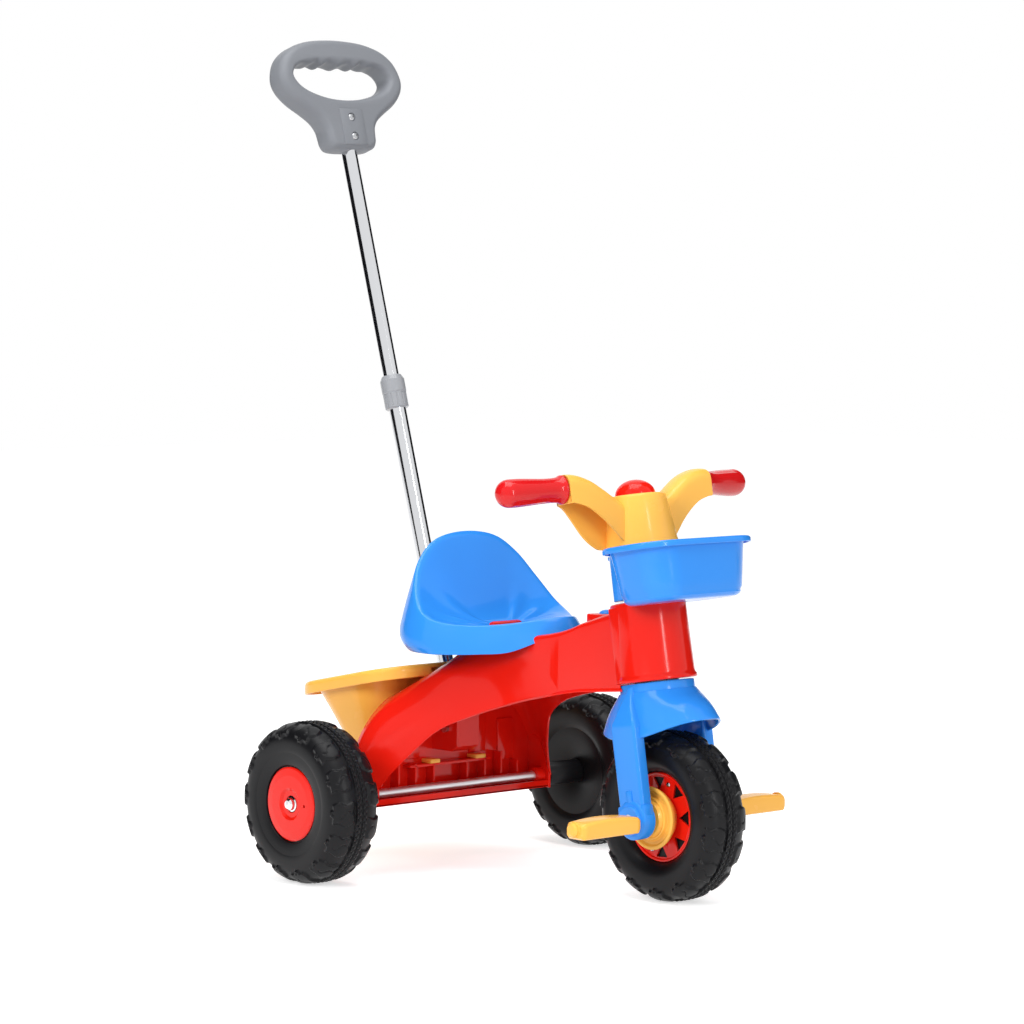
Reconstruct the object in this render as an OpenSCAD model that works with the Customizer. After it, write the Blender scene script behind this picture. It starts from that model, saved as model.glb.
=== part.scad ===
// Push along trike for a toddler: moulded plastic body, seat, bucket and basket, a raked
// steering fork with a cranked front wheel, two rear wheels and a telescopic push bar.
// The front faces -Y, the rider's right is -X, and the floor is z = 0.

/* [Stance] */
// Height of the push handle's top above the floor
height = 900; // [860:1:920]
// Distance between the front and rear axles
wheelbase = 336; // [330:1:344]
// Distance between the centres of the rear tyres
rear_track = 403; // [400:1:424]
// Backward lean of the steering axis in degrees
rake = 9.6; // [8:0.2:12]

/* [Rear wheels] */
// Outer diameter of a rear wheel
rear_wheel_d = 171; // [165:1:176]
// Width of a rear tyre
rear_tyre_w = 66; // [60:1:70]
// Diameter of the red hub disc
rear_disc_d = 78; // [70:1:82]
// Diameter of the rear axle rod
rear_axle_d = 10; // [8:0.5:12]
// Diameter of the hub tube that turns on the axle
rear_hub_d = 26; // [22:1:30]

/* [Front wheel] */
// Outer diameter of the front wheel
front_wheel_d = 175; // [170:1:178]
// Width of the front tyre
front_tyre_w = 61; // [56:1:64]
// Diameter of the spoked disc
front_disc_d = 92; // [86:1:96]
// Number of triangular windows in a spoked disc
window_count = 10; // [8:1:12]
// Diameter of the hub flange
front_hub_d = 67; // [60:1:70]

/* [Tyres] */
// Wall of the hollow tyres
tyre_wall = 3; // [2:0.5:4]
// Number of lugs on each shoulder
lug_count = 14; // [10:1:18]
// Height of a lug above the shoulder
lug_h = 2.4; // [1.5:0.1:3]
// Width of the raised tread band
tread_w = 20; // [14:1:24]

/* [Crank and pedals] */
// Diameter of the crank rod
crank_d = 8; // [7:0.5:9]
// Distance from the wheel axis to a pedal's spindle
crank_throw = 28; // [24:1:34]
// Angle of the front pedal above level
crank_angle = 8; // [0:1:24]
// Length of a pedal
pedal_len = 80; // [70:1:84]
// Width of a pedal, front to back
pedal_w = 26; // [24:1:30]
// Height of a pedal at its middle
pedal_h = 19; // [17:1:24]
// Distance from the middle to the right pedal's inner end
right_pedal_x = 82; // [81:1:98]
// Distance from the middle to the left pedal's inner end
left_pedal_x = 104; // [81:1:106]

/* [Body] */
// Wall of the moulded body
body_wall = 3; // [2.5:0.25:3.5]
// Width of the spine
spine_w = 72; // [66:1:76]
// Width of the rear axle housing
housing_w = 256; // [250:1:260]
// Diameter of the head sleeve at its top
head_d = 78; // [76:1:82]
// Flare of the head sleeve's diameter towards the bottom
head_flare = 3; // [2:0.5:5]
// Length of the head sleeve
head_len = 82; // [78:1:84]
// Height of the head sleeve's bottom above the wheel centre, along the axis
head_base = 138; // [136:1:142]

/* [Seat] */
// Height of the seat back's crest
seat_crest = 363; // [350:1:370]
// Half width of the seat at its skirt
seat_half = 107; // [102:1:108]
// Wall of the seat
seat_wall = 2.6; // [2:0.2:3]

/* [Bucket] */
// Half width of the bucket at its rim
bucket_half = 106; // [100:1:108]
// Length of the bucket at its rim
bucket_len = 166; // [155:1:170]
// Depth of the bucket
bucket_depth = 96; // [85:1:100]
// Height of the rolled rim band
bucket_band = 14; // [10:1:16]
// Wall of the bucket
bucket_wall = 2.4; // [2:0.2:3]

/* [Steering] */
// Diameter of the stem that turns in the head
stem_d = 34; // [30:1:36]
// Diameter of the rod inside the stem
rod_d = 8; // [6:0.5:8]
// Distance from the middle to the middle of a fork leg
leg_x = 49; // [48:0.5:51]
// Thickness of a fork leg
leg_t = 14; // [12:0.5:15]
// Width of a fork leg, front to back
leg_w = 33; // [28:1:36]
// Height of the handlebar column's top above the wheel centre, along the axis
column_top = 332; // [326:1:336]
// Distance from the middle to the inner end of a grip
grip_x = 97; // [94:1:100]
// Length of a grip
grip_len = 77; // [72:1:84]
// Diameter of a grip
grip_d = 29; // [26:1:31]
// Diameter of the horn button
button_d = 42; // [38:1:44]
// Travel of the horn button
button_travel = 3; // [2:0.5:4]

/* [Basket] */
// Half width of the basket at its rim
basket_half = 82; // [78:1:86]
// Length of the basket at its rim
basket_len = 95; // [92:1:100]
// Depth of the basket
basket_depth = 60; // [54:1:61]
// Wall of the basket
basket_wall = 2.4; // [2:0.2:3]

/* [Push bar] */
// Backward lean of the push bar in degrees
bar_lean = 16.2; // [15.5:0.1:17]
// Diameter of the lower tube
lower_tube_d = 19; // [18.6:0.1:20]
// Diameter of the upper tube
upper_tube_d = 17.5; // [16.5:0.1:17.5]
// Distance along the bar from its foot to the collar
collar_at = 377; // [350:1:390]
// Length of the collar
collar_len = 37; // [32:1:42]
// Diameter of the collar
collar_d = 27; // [25:0.5:30]
// Width of the push handle
handle_w = 174; // [168:1:180]
// Thickness of the push handle
handle_t = 30; // [26:1:32]

/* [Fits] */
// Radial running clearance of a turning or sliding fit
run_gap = 0.05; // [0.02:0.01:0.1]
// Clearance between bodies that pass each other
body_gap = 0.3; // [0.3:0.1:0.8]

/* [Hidden] */
$fn = 64;

RED = [0.88, 0.12, 0.09];
BLUE = [0.16, 0.5, 0.92];
YELLOW = [0.98, 0.74, 0.25];
BLACK = [0.09, 0.09, 0.1];
GREY = [0.55, 0.57, 0.6];
STEEL = [0.78, 0.79, 0.8];
DARK_RED = [0.76, 0.06, 0.07];
WHITE = [0.93, 0.93, 0.92];

// Push bar, measured along its axis from the foot in the body's socket
bar_foot_y = -9;
bar_foot_z = 130;
handle_round = 10;
handle_flat = handle_t / 2 - handle_round;
handle_top = handle_round
  + (height - bar_foot_z - handle_round - handle_flat * sin(bar_lean)) / cos(bar_lean);
handle_len = 128;
handle_base = handle_top - handle_len;
lower_tube_wall = (lower_tube_d - upper_tube_d) / 2 - run_gap;
upper_tube_wall = 1;
tube_insert = 70;
tube_in_handle = 46;

// The origin lies in the middle of the overall length
front_reach = wheelbase + front_wheel_d / 2;
rear_reach = bar_foot_y + (handle_top - handle_round) * sin(bar_lean)
  + handle_flat * cos(bar_lean) + handle_round;
rear_axle_y = (front_reach - rear_reach) / 2;
rear_axle_z = rear_wheel_d / 2;

// Heights along the steering axis, from the front wheel's centre
head_top = head_base + head_len;
bush_flange = 1;
fender_base = 93;
fender_wall = 3;
collar_r = head_d / 2 - 0.5;
bush_wall = 3;
bush_len = 14;
head_room = 30;
bush_d = stem_d + 2 * (run_gap + bush_wall);

// Rear wheel, measured outward from the tyre's middle
web_out = 25;
hub_in = rear_track / 2 - housing_w / 2 - 3;
boss_h = 1;
washer_t = 3 - boss_h - body_gap;
axle_half = rear_track / 2 + web_out + 5;
axle_cap_d = 16;

// Fasteners
screw_d = 4;
bolt_d = 5;
bolt_at = 20;

// Shared functions

function blend(a, b, t) = a + (b - a) * t;

// Smooth curve through four points, for t from 0 to 1 between the middle two
function spline_point(a, b, c, d, t) =
  0.5 * ((2 * b) + (c - a) * t + (2 * a - 5 * b + 4 * c - d) * t * t
         + (3 * b - a - 3 * c + d) * t * t * t);

// Smooth curve through a list of points, with n steps between neighbours
function smooth(p, n) =
  let (last = len(p) - 1)
  concat(
    [for (i = [0 : last - 1], k = [0 : n - 1])
      spline_point(p[max(i - 1, 0)], p[i], p[i + 1], p[min(i + 2, last)], k / n)],
    [p[last]]);

// Closed smooth curve through a list of points
function smooth_loop(p, n) =
  let (m = len(p))
  [for (i = [0 : m - 1], k = [0 : n - 1])
    spline_point(p[(i + m - 1) % m], p[i], p[(i + 1) % m], p[(i + 2) % m], k / n)];

// The right half of an outline, from its front or top point to its last, and its mirror image
function mirrored(p) =
  concat(p, [for (i = [len(p) - 2 : -1 : 1]) [for (k = [0 : len(p[i]) - 1]) k == 0 ? -p[i][k] : p[i][k]]]);

// Outline moved inward along its own normals; the outline runs counter-clockwise
function inset(p, d) =
  let (m = len(p))
  [for (i = [0 : m - 1])
    let (a = p[(i + m - 1) % m], b = p[(i + 1) % m], t = b - a, l = norm(t))
    p[i] + d * [-t[1], t[0]] / l];

// Rounded rectangle with n points in each corner, counter-clockwise
function rounded_rect(hx, hy, r, n = 6) =
  [for (q = [0 : 3], k = [0 : n])
    let (a = q * 90 + 90 * k / n, sx = (q == 0 || q == 3) ? 1 : -1, sy = q < 2 ? 1 : -1)
    [sx * (hx - r) + r * cos(a), sy * (hy - r) + r * sin(a)]];

function reversed(v) = [for (i = [len(v) - 1 : -1 : 0]) v[i]];

// Solid through a row of closed rings with equal numbers of points
module skin(rings) {
  n = len(rings[0]);
  m = len(rings);
  points = [for (r = rings) each r];
  sides = [
    for (i = [0 : m - 2], j = [0 : n - 1])
      let (a = i * n + j, b = i * n + (j + 1) % n)
      each [[a, a + n, b + n], [a, b + n, b]]
  ];
  first = [for (j = [0 : n - 1]) j];
  last = [for (j = [n - 1 : -1 : 0]) (m - 1) * n + j];
  polyhedron(points, concat([first], sides, [last]));
}

// Places of the parts

module on_rear_axle() {
  translate([0, rear_axle_y, 0]) children();
}

module on_steering() {
  translate([0, rear_axle_y - wheelbase, front_wheel_d / 2]) rotate([-rake, 0, 0]) children();
}

module on_front_wheel() {
  translate([0, rear_axle_y - wheelbase, front_wheel_d / 2]) children();
}

module on_bar() {
  translate([0, rear_axle_y + bar_foot_y, bar_foot_z]) rotate([-bar_lean, 0, 0]) children();
}

// Turns a part drawn about the Z axis onto the X axis, pointing outward on one side
module outward(side) {
  rotate([0, side * 90, 0]) children();
}

module on_rear_wheel(side) {
  translate([side * rear_track / 2, rear_axle_y, rear_axle_z]) outward(side) children();
}

// Body

// Control points of a wing as [x, y, z]: the arch's front edge, the ridge, the rear top edge
// and the foot of the rear slope, each from the spine out to the end of the axle housing
wing_start = spine_w / 2 - body_wall - 1.4;
wing_end = housing_w / 2;
wing_tip = wing_end - 0.6;
bulkhead_y = 20;
lip_y = -13;
lip_z = 73;
arch_edge = [
  [wing_start, -172, 197], [45, -124, 185], [60, -94, 175], [80, -64, 159],
  [100, -39, 131], [115, -24, 109], [wing_tip, lip_y - 1, 88]
];
ridge = [
  [wing_start, -132, 224], [45, -98, 217], [60, -72, 206], [80, -46, 187],
  [100, -25, 161], [115, -10, 142], [wing_tip, 0, 121]
];
rear_edge = [
  [wing_start, -70, 240], [45, -60, 232], [60, -44, 218], [80, -19, 197],
  [100, -1, 176], [115, 8, 155], [wing_tip, 15, 129]
];
slope_foot = [
  [wing_start, 23, 196], [45, 23, 194], [60, 23, 190], [80, 23, 182],
  [100, 23, 166], [115, 23, 147], [wing_tip, 23, 121]
];
wing_steps = 2;
section_steps = 3;

// Outer line of a wing's cross-section at one station, as [y, z] points
function wing_line(i) =
  let (
    e = smooth(arch_edge, wing_steps)[i], u = smooth(ridge, wing_steps)[i],
    r = smooth(rear_edge, wing_steps)[i], f = smooth(slope_foot, wing_steps)[i]
  )
  smooth([[e[1], e[2]], [u[1], u[2]], [r[1], r[2]], [f[1], f[2]]], section_steps);

// The same line moved inward by the wall
function inner_line(line, d) =
  let (m = len(line))
  [for (i = [0 : m - 1])
    let (t = line[min(i + 1, m - 1)] - line[max(i - 1, 0)], l = norm(t))
    line[i] + d * [t[1], -t[0]] / l];

module wing(side) {
  xs = [for (p = smooth(arch_edge, wing_steps)) p[0]];
  rings = [
    for (i = [0 : len(xs) - 1])
      let (out = wing_line(i), inn = inner_line(out, body_wall), m = len(out) - 1)
      [for (q = concat(out, [for (k = [m : -1 : 0]) inn[k]])) [side * xs[i], q[0], q[1]]]
  ];
  skin(side < 0 ? rings : reversed(rings));
}

// Side profile of the spine as [y, z]: its roof from the head to the bulkhead, and its bottom
// edge, which runs on inside the wings' wall behind the arch
spine_front = 40 - wheelbase;
neck_y = spine_front + 24;
arch_y = -180;
waist_y = blend(neck_y, arch_y, 0.61);
spine_top = [
  [spine_front, 296.5], [neck_y, 292.5], [waist_y, 272], [arch_y, 264], [-120, 256], [-84, 251],
  [-62, 243], [-44, 234], [-24, 223], [0, 211], [bulkhead_y + body_wall - 1, 200]
];
spine_bottom = [
  [spine_front, 217], [neck_y, 214], [waist_y, 205], [arch_y, 198],
  [-168, 199.5], [-150, 211], [-132, 220],
  [-104, 231], [-80, 236], [-62, 233], [-40, 222], [-16, 209], [8, 197], [bulkhead_y + 2, 190]
];

module spine_profile() {
  polygon(concat(reversed(smooth(spine_top, 3)), spine_bottom));
}

// The roof line as [y, z] points, lowered by d
function roof_line(d = 0) = [for (p = smooth(spine_top, 3)) [p[0], p[1] - d]];

// Inverted channel: a side profile across the full width, hollowed from below
module spine() {
  difference() {
    rotate([90, 0, 90]) linear_extrude(spine_w, center = true) spine_profile();
    translate([0, 0, -body_wall]) rotate([90, 0, 90])
      linear_extrude(spine_w - 2 * body_wall, center = true) {
        spine_profile();
        polygon([
          [spine_front - 14, 150], [spine_front - 14, 240],
          [bulkhead_y + 4, 195], [bulkhead_y + 4, 150]
        ]);
      }
  }
}

// Where the bucket's tabs pass through the bulkhead
tab_x = 24;
tab_z = 117;
tab_w = 14;
tab_t = 5;
shelf_w = 68;
rib_front = 7;
outer_rib_x = 74;
outer_rib_h = 42;
lip_h = 7;
socket_w = 32;
socket_front = -32;
axle_boss_d = 17;

// Plug in the roof behind the head, block that shows in the seat's slot, and the seat's screws
plug_y = spine_front + 57;
plug_top = 288;
plug_pad_w = 34;
plug_d = 16;
slot_y = -84;
slot_w = 49;
slot_l = 14;
slot_block_top = 257;
seat_screw_x = 22;
seat_screw_y = -104;
seat_pad_z = 244;

module bulkhead() {
  outline = [for (p = smooth(slope_foot, wing_steps)) [p[0], p[2] - 1.2]];
  half = concat([[0, spine_top[len(spine_top) - 1][1] - 2]], outline, [[wing_end - 1, lip_z]]);
  difference() {
    translate([0, bulkhead_y + body_wall, 0]) rotate([90, 0, 0]) linear_extrude(body_wall)
      polygon(concat(half, [for (i = [len(half) - 1 : -1 : 1]) [-half[i][0], half[i][1]]]));
    for (side = [-1, 1])
      translate([side * tab_x, bulkhead_y, tab_z]) cube([tab_w + 1, 20, tab_t + 1], center = true);
  }
}

module housing() {
  // Floor and front lip under the axle
  floor_w = housing_w - 2;
  translate([-floor_w / 2, lip_y, lip_z]) cube([floor_w, bulkhead_y + 1 - lip_y, body_wall]);
  translate([-floor_w / 2, lip_y, lip_z]) cube([floor_w, body_wall, lip_h]);
  // End walls that carry the axle, each with a boss on both faces
  tip = inner_line(wing_line(len(smooth(arch_edge, wing_steps)) - 1), -0.8);
  for (side = [-1, 1]) {
    translate([side * (wing_end - body_wall / 2), 0, 0]) rotate([90, 0, 90])
      linear_extrude(body_wall, center = true)
        polygon(concat(tip, [[bulkhead_y + body_wall - 0.5, lip_z - 1], [lip_y - 1, lip_z - 1]]));
    translate([side * (wing_end - 14), 0, rear_axle_z]) outward(side)
      cylinder(h = 14 + boss_h, d = axle_boss_d);
  }
  // Shelf and upright ribs on the bulkhead, under the bucket's tabs
  for (x = [-1, 1] * tab_x)
    translate([x - body_wall / 2, rib_front, lip_z])
      cube([body_wall, bulkhead_y + 1 - rib_front, tab_z - tab_t / 2 - lip_z]);
  for (x = [-1, 1] * tab_x)
    translate([x - shelf_w / 2, rib_front, tab_z - tab_t / 2 - body_wall])
      cube([shelf_w, bulkhead_y + 1 - rib_front, body_wall]);
  for (x = [-1, 1] * outer_rib_x)
    translate([x - body_wall / 2, rib_front, lip_z])
      cube([body_wall, bulkhead_y + 1 - rib_front, outer_rib_h]);
}

// Pillar that holds the foot of the push bar, up to the underside of the roof
module socket() {
  intersection() {
    translate([-socket_w / 2, socket_front, 0])
      cube([socket_w, bulkhead_y + 1 - socket_front, 260]);
    rotate([90, 0, 90]) linear_extrude(socket_w + 2, center = true)
      polygon(concat(roof_line(1), [
        [bulkhead_y + body_wall, bar_foot_z - 6], [bulkhead_y - 18, bar_foot_z - 14],
        [socket_front + 16, bar_foot_z - 14], [socket_front, bar_foot_z - 4], [socket_front, 200]
      ]));
  }
}

// Tapered sleeve with a lip round its bottom, bored for the two bushes and hollow between them
module head_sleeve() {
  top_r = head_d / 2;
  base_r = top_r + head_flare / 2;
  lip_len = 6;
  translate([0, 0, head_base]) rotate_extrude($fn = 96) difference() {
    polygon([
      [bush_d / 2 + run_gap, 0], [base_r + 1.5, 0], [base_r + 1.5, lip_len - 1.5],
      [base_r - 0.3, lip_len], [top_r, head_len - 3], [top_r - 3, head_len],
      [bush_d / 2 + run_gap, head_len]
    ]);
    polygon([
      [bush_d / 2 + run_gap - 1, bush_len], [bush_d / 2 + 3, bush_len],
      [base_r - 5, bush_len + 4], [top_r - 4, head_len - bush_len - 4],
      [bush_d / 2 + 3, head_len - bush_len], [bush_d / 2 + run_gap - 1, head_len - bush_len]
    ]);
  }
}

module body_shell() {
  color(RED) difference() {
    union() {
      on_rear_axle() difference() {
        union() {
          spine();
          wing(1);
          wing(-1);
          bulkhead();
          housing();
          socket();
          // Block that shows in the seat's slot
          translate([-slot_w / 2 + 1, slot_y - slot_l / 2 + 1, slot_block_top - 10])
            cube([slot_w - 2, slot_l - 2, 10]);
          for (side = [-1, 1]) translate([side * seat_screw_x, seat_screw_y, seat_pad_z])
            cylinder(h = 8, d = 3 * screw_d);
          translate([-plug_pad_w / 2, plug_y - 13, plug_top - 16]) cube([plug_pad_w, 26, 16]);
        }
        // The head sleeve takes the place of the spine's front end
        translate([0, -wheelbase, front_wheel_d / 2]) rotate([-rake, 0, 0])
          translate([0, 0, head_base - head_room]) {
            cylinder(h = head_len + 2 * head_room, d = head_d - 4);
            // Room for the fork's collar
            cylinder(h = head_room - body_gap, r = collar_r + body_gap);
          }
      }
      on_steering() head_sleeve();
    }
    // Axle bore through both end walls
    on_rear_axle() translate([0, 0, rear_axle_z]) rotate([0, 90, 0])
      cylinder(h = housing_w + 20, d = rear_axle_d + 2 * run_gap, center = true);
    // Socket bore for the push bar's lower tube, open through the roof, with a cross bolt
    on_bar() cylinder(h = 140, d = lower_tube_d + 2 * run_gap);
    on_bar() translate([0, 0, bolt_at]) rotate([0, 90, 0])
      cylinder(h = socket_w + 10, d = bolt_d + 2 * run_gap, center = true);
    on_rear_axle() translate([0, plug_y, 200])
      cylinder(h = 120, d = plug_d - 4 + 2 * run_gap);
    on_rear_axle() for (side = [-1, 1]) translate([side * seat_screw_x, seat_screw_y, 200])
      cylinder(h = 100, d = screw_d + 2 * run_gap);
  }
}

module rear_axle() {
  edge = 1;
  color(STEEL) translate([0, rear_axle_y, rear_axle_z]) rotate([0, 90, 0]) rotate_extrude()
    polygon([
      [0, -axle_half], [rear_axle_d / 2 - edge, -axle_half],
      [rear_axle_d / 2, -axle_half + edge], [rear_axle_d / 2, axle_half - edge],
      [rear_axle_d / 2 - edge, axle_half], [0, axle_half]
    ]);
}

// Nylon washers between the housing's bosses and the wheels' hub tubes
module axle_washers() {
  color(WHITE) for (side = [-1, 1])
    translate([side * (housing_w / 2 + boss_h), rear_axle_y, rear_axle_z]) outward(side)
      difference() {
        cylinder(h = washer_t, d = axle_boss_d);
        translate([0, 0, -1]) cylinder(h = washer_t + 2, d = rear_axle_d + 2 * run_gap);
      }
}

// Domed push nuts on the ends of the axle
module axle_caps() {
  seat_x = rear_track / 2 + web_out + body_gap;
  end_z = axle_half - seat_x;
  cap_r = axle_cap_d / 2;
  color(STEEL) for (side = [-1, 1])
    translate([side * seat_x, rear_axle_y, rear_axle_z]) outward(side) rotate_extrude()
      polygon([
        [rear_axle_d / 2 + run_gap, 0], [cap_r, 0], [cap_r, 1], [cap_r - 1.4, 1.6],
        [cap_r - 1.8, end_z], [cap_r - 3.8, end_z + 2], [0, end_z + 2.6],
        [0, end_z + run_gap], [rear_axle_d / 2 + run_gap, end_z + run_gap]
      ]);
}

// Flanged nylon bushes in the head's two ends
module head_bushes() {
  color(WHITE) on_steering() for (top = [0, 1])
    translate([0, 0, top == 1 ? head_top : head_base]) mirror([0, 0, top]) rotate_extrude()
      polygon([
        [stem_d / 2 + run_gap, -bush_flange], [bush_d / 2 + 3, -bush_flange],
        [bush_d / 2 + 3, 0], [bush_d / 2, 0], [bush_d / 2, bush_len],
        [stem_d / 2 + run_gap, bush_len]
      ]);
}

// Domed plug pressed into the roof of the spine
module spine_plug() {
  rise = 4;
  color(BLUE) translate([0, rear_axle_y + plug_y, plug_top]) rotate_extrude() polygon(concat(
    [for (a = [0 : 15 : 90]) [plug_d / 2 * cos(a), rise * sin(a)]],
    [[0, -10], [plug_d / 2 - 2, -10], [plug_d / 2 - 2, 0]]
  ));
}

// Seat

// Right half of the seat's rim and skirt, from the rear round to the nose, as [x, y, z]
rim_line = [
  [0, -14, seat_crest], [42, -16, seat_crest - 6], [70, -22, seat_crest - 25],
  [88, -34, 312], [98, -52, 288], [98, -70, 277], [87, -92, 272], [66, -117, 271],
  [43, -145, 274], [22, -168, 279], [0, -180, 281]
];
skirt_line = [
  [0, 9, 240], [50, 8, 240], [84, -1, 240], [seat_half - 8, -18, 240],
  [seat_half, -40, 240], [seat_half - 2, -64, 240], [seat_half - 14, -90, 240],
  [73, -118, 241], [52, -146, 244], [28, -176, 258], [0, -188, 262]
];
dish_y = -84;
dish_z = 261;
dish_power = 2.1;
rim_width = 5;
seat_steps = 3;

// The seat's outside at a share t of the way from skirt to rim, drawn in by d
function seat_ring(t, d = 0) =
  let (
    skirt = smooth_loop(mirrored(skirt_line), seat_steps),
    rim = smooth_loop(mirrored(rim_line), seat_steps)
  )
  [for (i = [0 : len(rim) - 1])
    let (p = blend(skirt[i], rim[i], t), v = [p[0], p[1] - dish_y], s = (norm(v) - d) / norm(v))
    [v[0] * s, dish_y + v[1] * s, p[2]]];

// Point of the dish under a rim point p, at a share t of the way to the middle
function dish_point(p, t) =
  let (reach = 1 - t)
  [p[0] * reach, blend(dish_y, p[1], reach), dish_z + (p[2] - dish_z) * pow(reach, dish_power)];

// The same point moved square to the dish by the wall
function under_point(p, t) =
  let (q = dish_point(p, t), v = dish_point(p, t + 0.02) - q, h = norm([v[0], v[1]]), l = norm(v))
  q + seat_wall / l * [v[0] * v[2] / h, v[1] * v[2] / h, -h];

module seat_shell() {
  edge = seat_ring(1, rim_width);
  skin(reversed(concat(
    [for (t = [0.92, 0.78, 0.64, 0.5, 0.36, 0.22, 0.1]) [for (p = edge) under_point(p, t)]],
    [for (t = [0.84, 0.6, 0.3, 0]) seat_ring(t, seat_wall)],
    [for (t = [0, 0.3, 0.6, 0.85, 0.97]) seat_ring(t)],
    [seat_ring(1, 1.2), edge],
    [for (t = [0.07, 0.15, 0.26, 0.38, 0.5, 0.64, 0.78, 0.92]) [for (p = edge) dish_point(p, t)]]
  )));
}

module seat() {
  boss_top = dish_z + 1;
  color(BLUE) on_rear_axle() difference() {
    union() {
      seat_shell();
      for (side = [-1, 1]) translate([side * seat_screw_x, seat_screw_y, boss_top - 12])
        cylinder(h = 12, d = 2.6 * screw_d);
    }
    // Slot in the floor of the dish
    translate([-(slot_w - slot_l) / 2, slot_y - slot_l / 2, dish_z - 30])
      cube([slot_w - slot_l, slot_l, 60]);
    for (side = [-1, 1]) translate([side * (slot_w - slot_l) / 2, slot_y, dish_z - 30])
      cylinder(h = 60, d = slot_l);
    // The skirt and the bosses end just above the spine's roof
    rotate([90, 0, 90]) linear_extrude(spine_w + 2 * body_gap, center = true)
      polygon(concat([for (p = roof_line(-body_gap)) p], [[bulkhead_y, 150], [spine_front, 150]]));
    for (side = [-1, 1]) translate([side * seat_screw_x, seat_screw_y, dish_z - 30])
      cylinder(h = 28, d = screw_d + 2 * run_gap);
  }
}

module seat_screws() {
  shank = dish_z - 2.4 - seat_pad_z;
  color(STEEL) on_rear_axle() for (side = [-1, 1])
    translate([side * seat_screw_x, seat_screw_y, seat_pad_z]) rotate_extrude() polygon([
      [0, shank], [screw_d / 2 - 0.8, shank], [screw_d / 2, shank - 2], [screw_d / 2, 0],
      [screw_d, 0], [screw_d, -1.4], [screw_d - 1.2, -2.6], [0, -2.6]
    ]);
}

// Trays

// Closed ring of 3-D points drawn in within its own plan, or moved up
function drawn(r, d) = let (q = inset(r, d)) [for (i = [0 : len(r) - 1]) [q[i][0], q[i][1], r[i][2]]];
function lifted(r, z) = [for (p = r) [p[0], p[1], p[2] + z]];
function between(a, b, t) = [for (i = [0 : len(a) - 1]) blend(a[i], b[i], t)];

// Open tray with a rolled rim: foot and brim bound the walls, lip is the rim's outer edge
module tray(foot, brim, lip, wall, band) {
  skin([
    drawn(foot, 6), lifted(drawn(foot, 2), 1.2), lifted(between(foot, brim, 0.04), 3),
    lifted(brim, -wall), lifted(drawn(lip, wall), -wall), lifted(drawn(lip, wall), -band),
    lifted(lip, -band), lifted(lip, -2), lifted(drawn(lip, 0.7), -0.6), drawn(lip, 2.2),
    drawn(brim, wall), lifted(drawn(between(foot, brim, 0.1), wall + 1), wall + 3),
    lifted(drawn(foot, wall + 4), wall + 0.6), lifted(drawn(foot, wall + 9), wall)
  ]);
}

// Bucket: its rim slopes down to the rear and its front ledge lets the push bar through
bucket_front = -8;
bucket_tilt = 11;
ledge_z = 222;
ledge_d = lower_tube_d + 1.6;
lip_r = 46;
// Distances of the walls' top edge and of the foot from the rim's edge: side, front, rear, radius
brim_margins = [10, 38, 10, 40];
foot_margins = [34, 39, 59, 28];

// Rounded rectangle in the bucket's plan, drawn in from the rim's edge by four margins
function bucket_plan(m) =
  let (half = (bucket_len - m[1] - m[2]) / 2)
  [for (p = rounded_rect(bucket_half - m[0], half, m[3])) [p[0], p[1] + bucket_front + m[1] + half]];

function on_rim(p) = [for (q = p) [q[0], q[1], ledge_z - (q[1] - bucket_front) * tan(bucket_tilt)]];

module rear_bucket() {
  floor_z = ledge_z - 11 - bucket_depth;
  foot = [for (p = bucket_plan(foot_margins)) [p[0], p[1], floor_z]];
  brim = on_rim(bucket_plan(brim_margins));
  lip = on_rim(bucket_plan([0, 0, 0, lip_r]));
  color(YELLOW) {
    on_rear_axle() difference() {
      tray(foot, brim, lip, bucket_wall, bucket_band);
      // Notch in the front lip, over the body's roof
      rotate([90, 0, 90]) linear_extrude(2 * 62, center = true)
        polygon([[-30, 228], [-8, 217], [12, 208], [29, 201], [29, 150], [-30, 150]]);
      translate([0, -rear_axle_y, 0]) on_bar() cylinder(h = 160, d = ledge_d);
    }
    // Tabs that reach through the bulkhead's slots
    on_rear_axle() for (side = [-1, 1])
      translate([side * tab_x - tab_w / 2, rib_front - 2, tab_z - tab_t / 2])
        cube([tab_w, 32 - rib_front + 2, tab_t]);
  }
}

// Push bar

module push_tube_lower() {
  color(STEEL) on_bar() difference() {
    cylinder(h = collar_at + collar_len / 2, d = lower_tube_d);
    translate([0, 0, -1])
      cylinder(h = collar_at + collar_len / 2 + 2, d = lower_tube_d - 2 * lower_tube_wall);
    translate([0, 0, bolt_at]) rotate([0, 90, 0])
      cylinder(h = 2 * lower_tube_d, d = bolt_d + 2 * run_gap, center = true);
  }
}

// Collar with a ring of grip ribs on its lower half
module push_collar() {
  step = collar_len / 2;
  r = collar_d / 2;
  color(GREY) on_bar() translate([0, 0, collar_at]) difference() {
    rotate_extrude() polygon([
      [lower_tube_d / 2 + run_gap, 0], [r - 1.5, 0], [r - 0.5, 1], [r - 0.5, step - 1],
      [r, step], [r, collar_len - 5], [r - 2.5, collar_len], [upper_tube_d / 2 + run_gap, collar_len],
      [upper_tube_d / 2 + run_gap, step + run_gap], [lower_tube_d / 2 + run_gap, step + run_gap]
    ]);
    for (k = [0 : 11]) rotate([0, 0, 30 * k]) translate([r, 0, 2])
      cylinder(h = step - 4, d = 2.4);
  }
}

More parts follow.
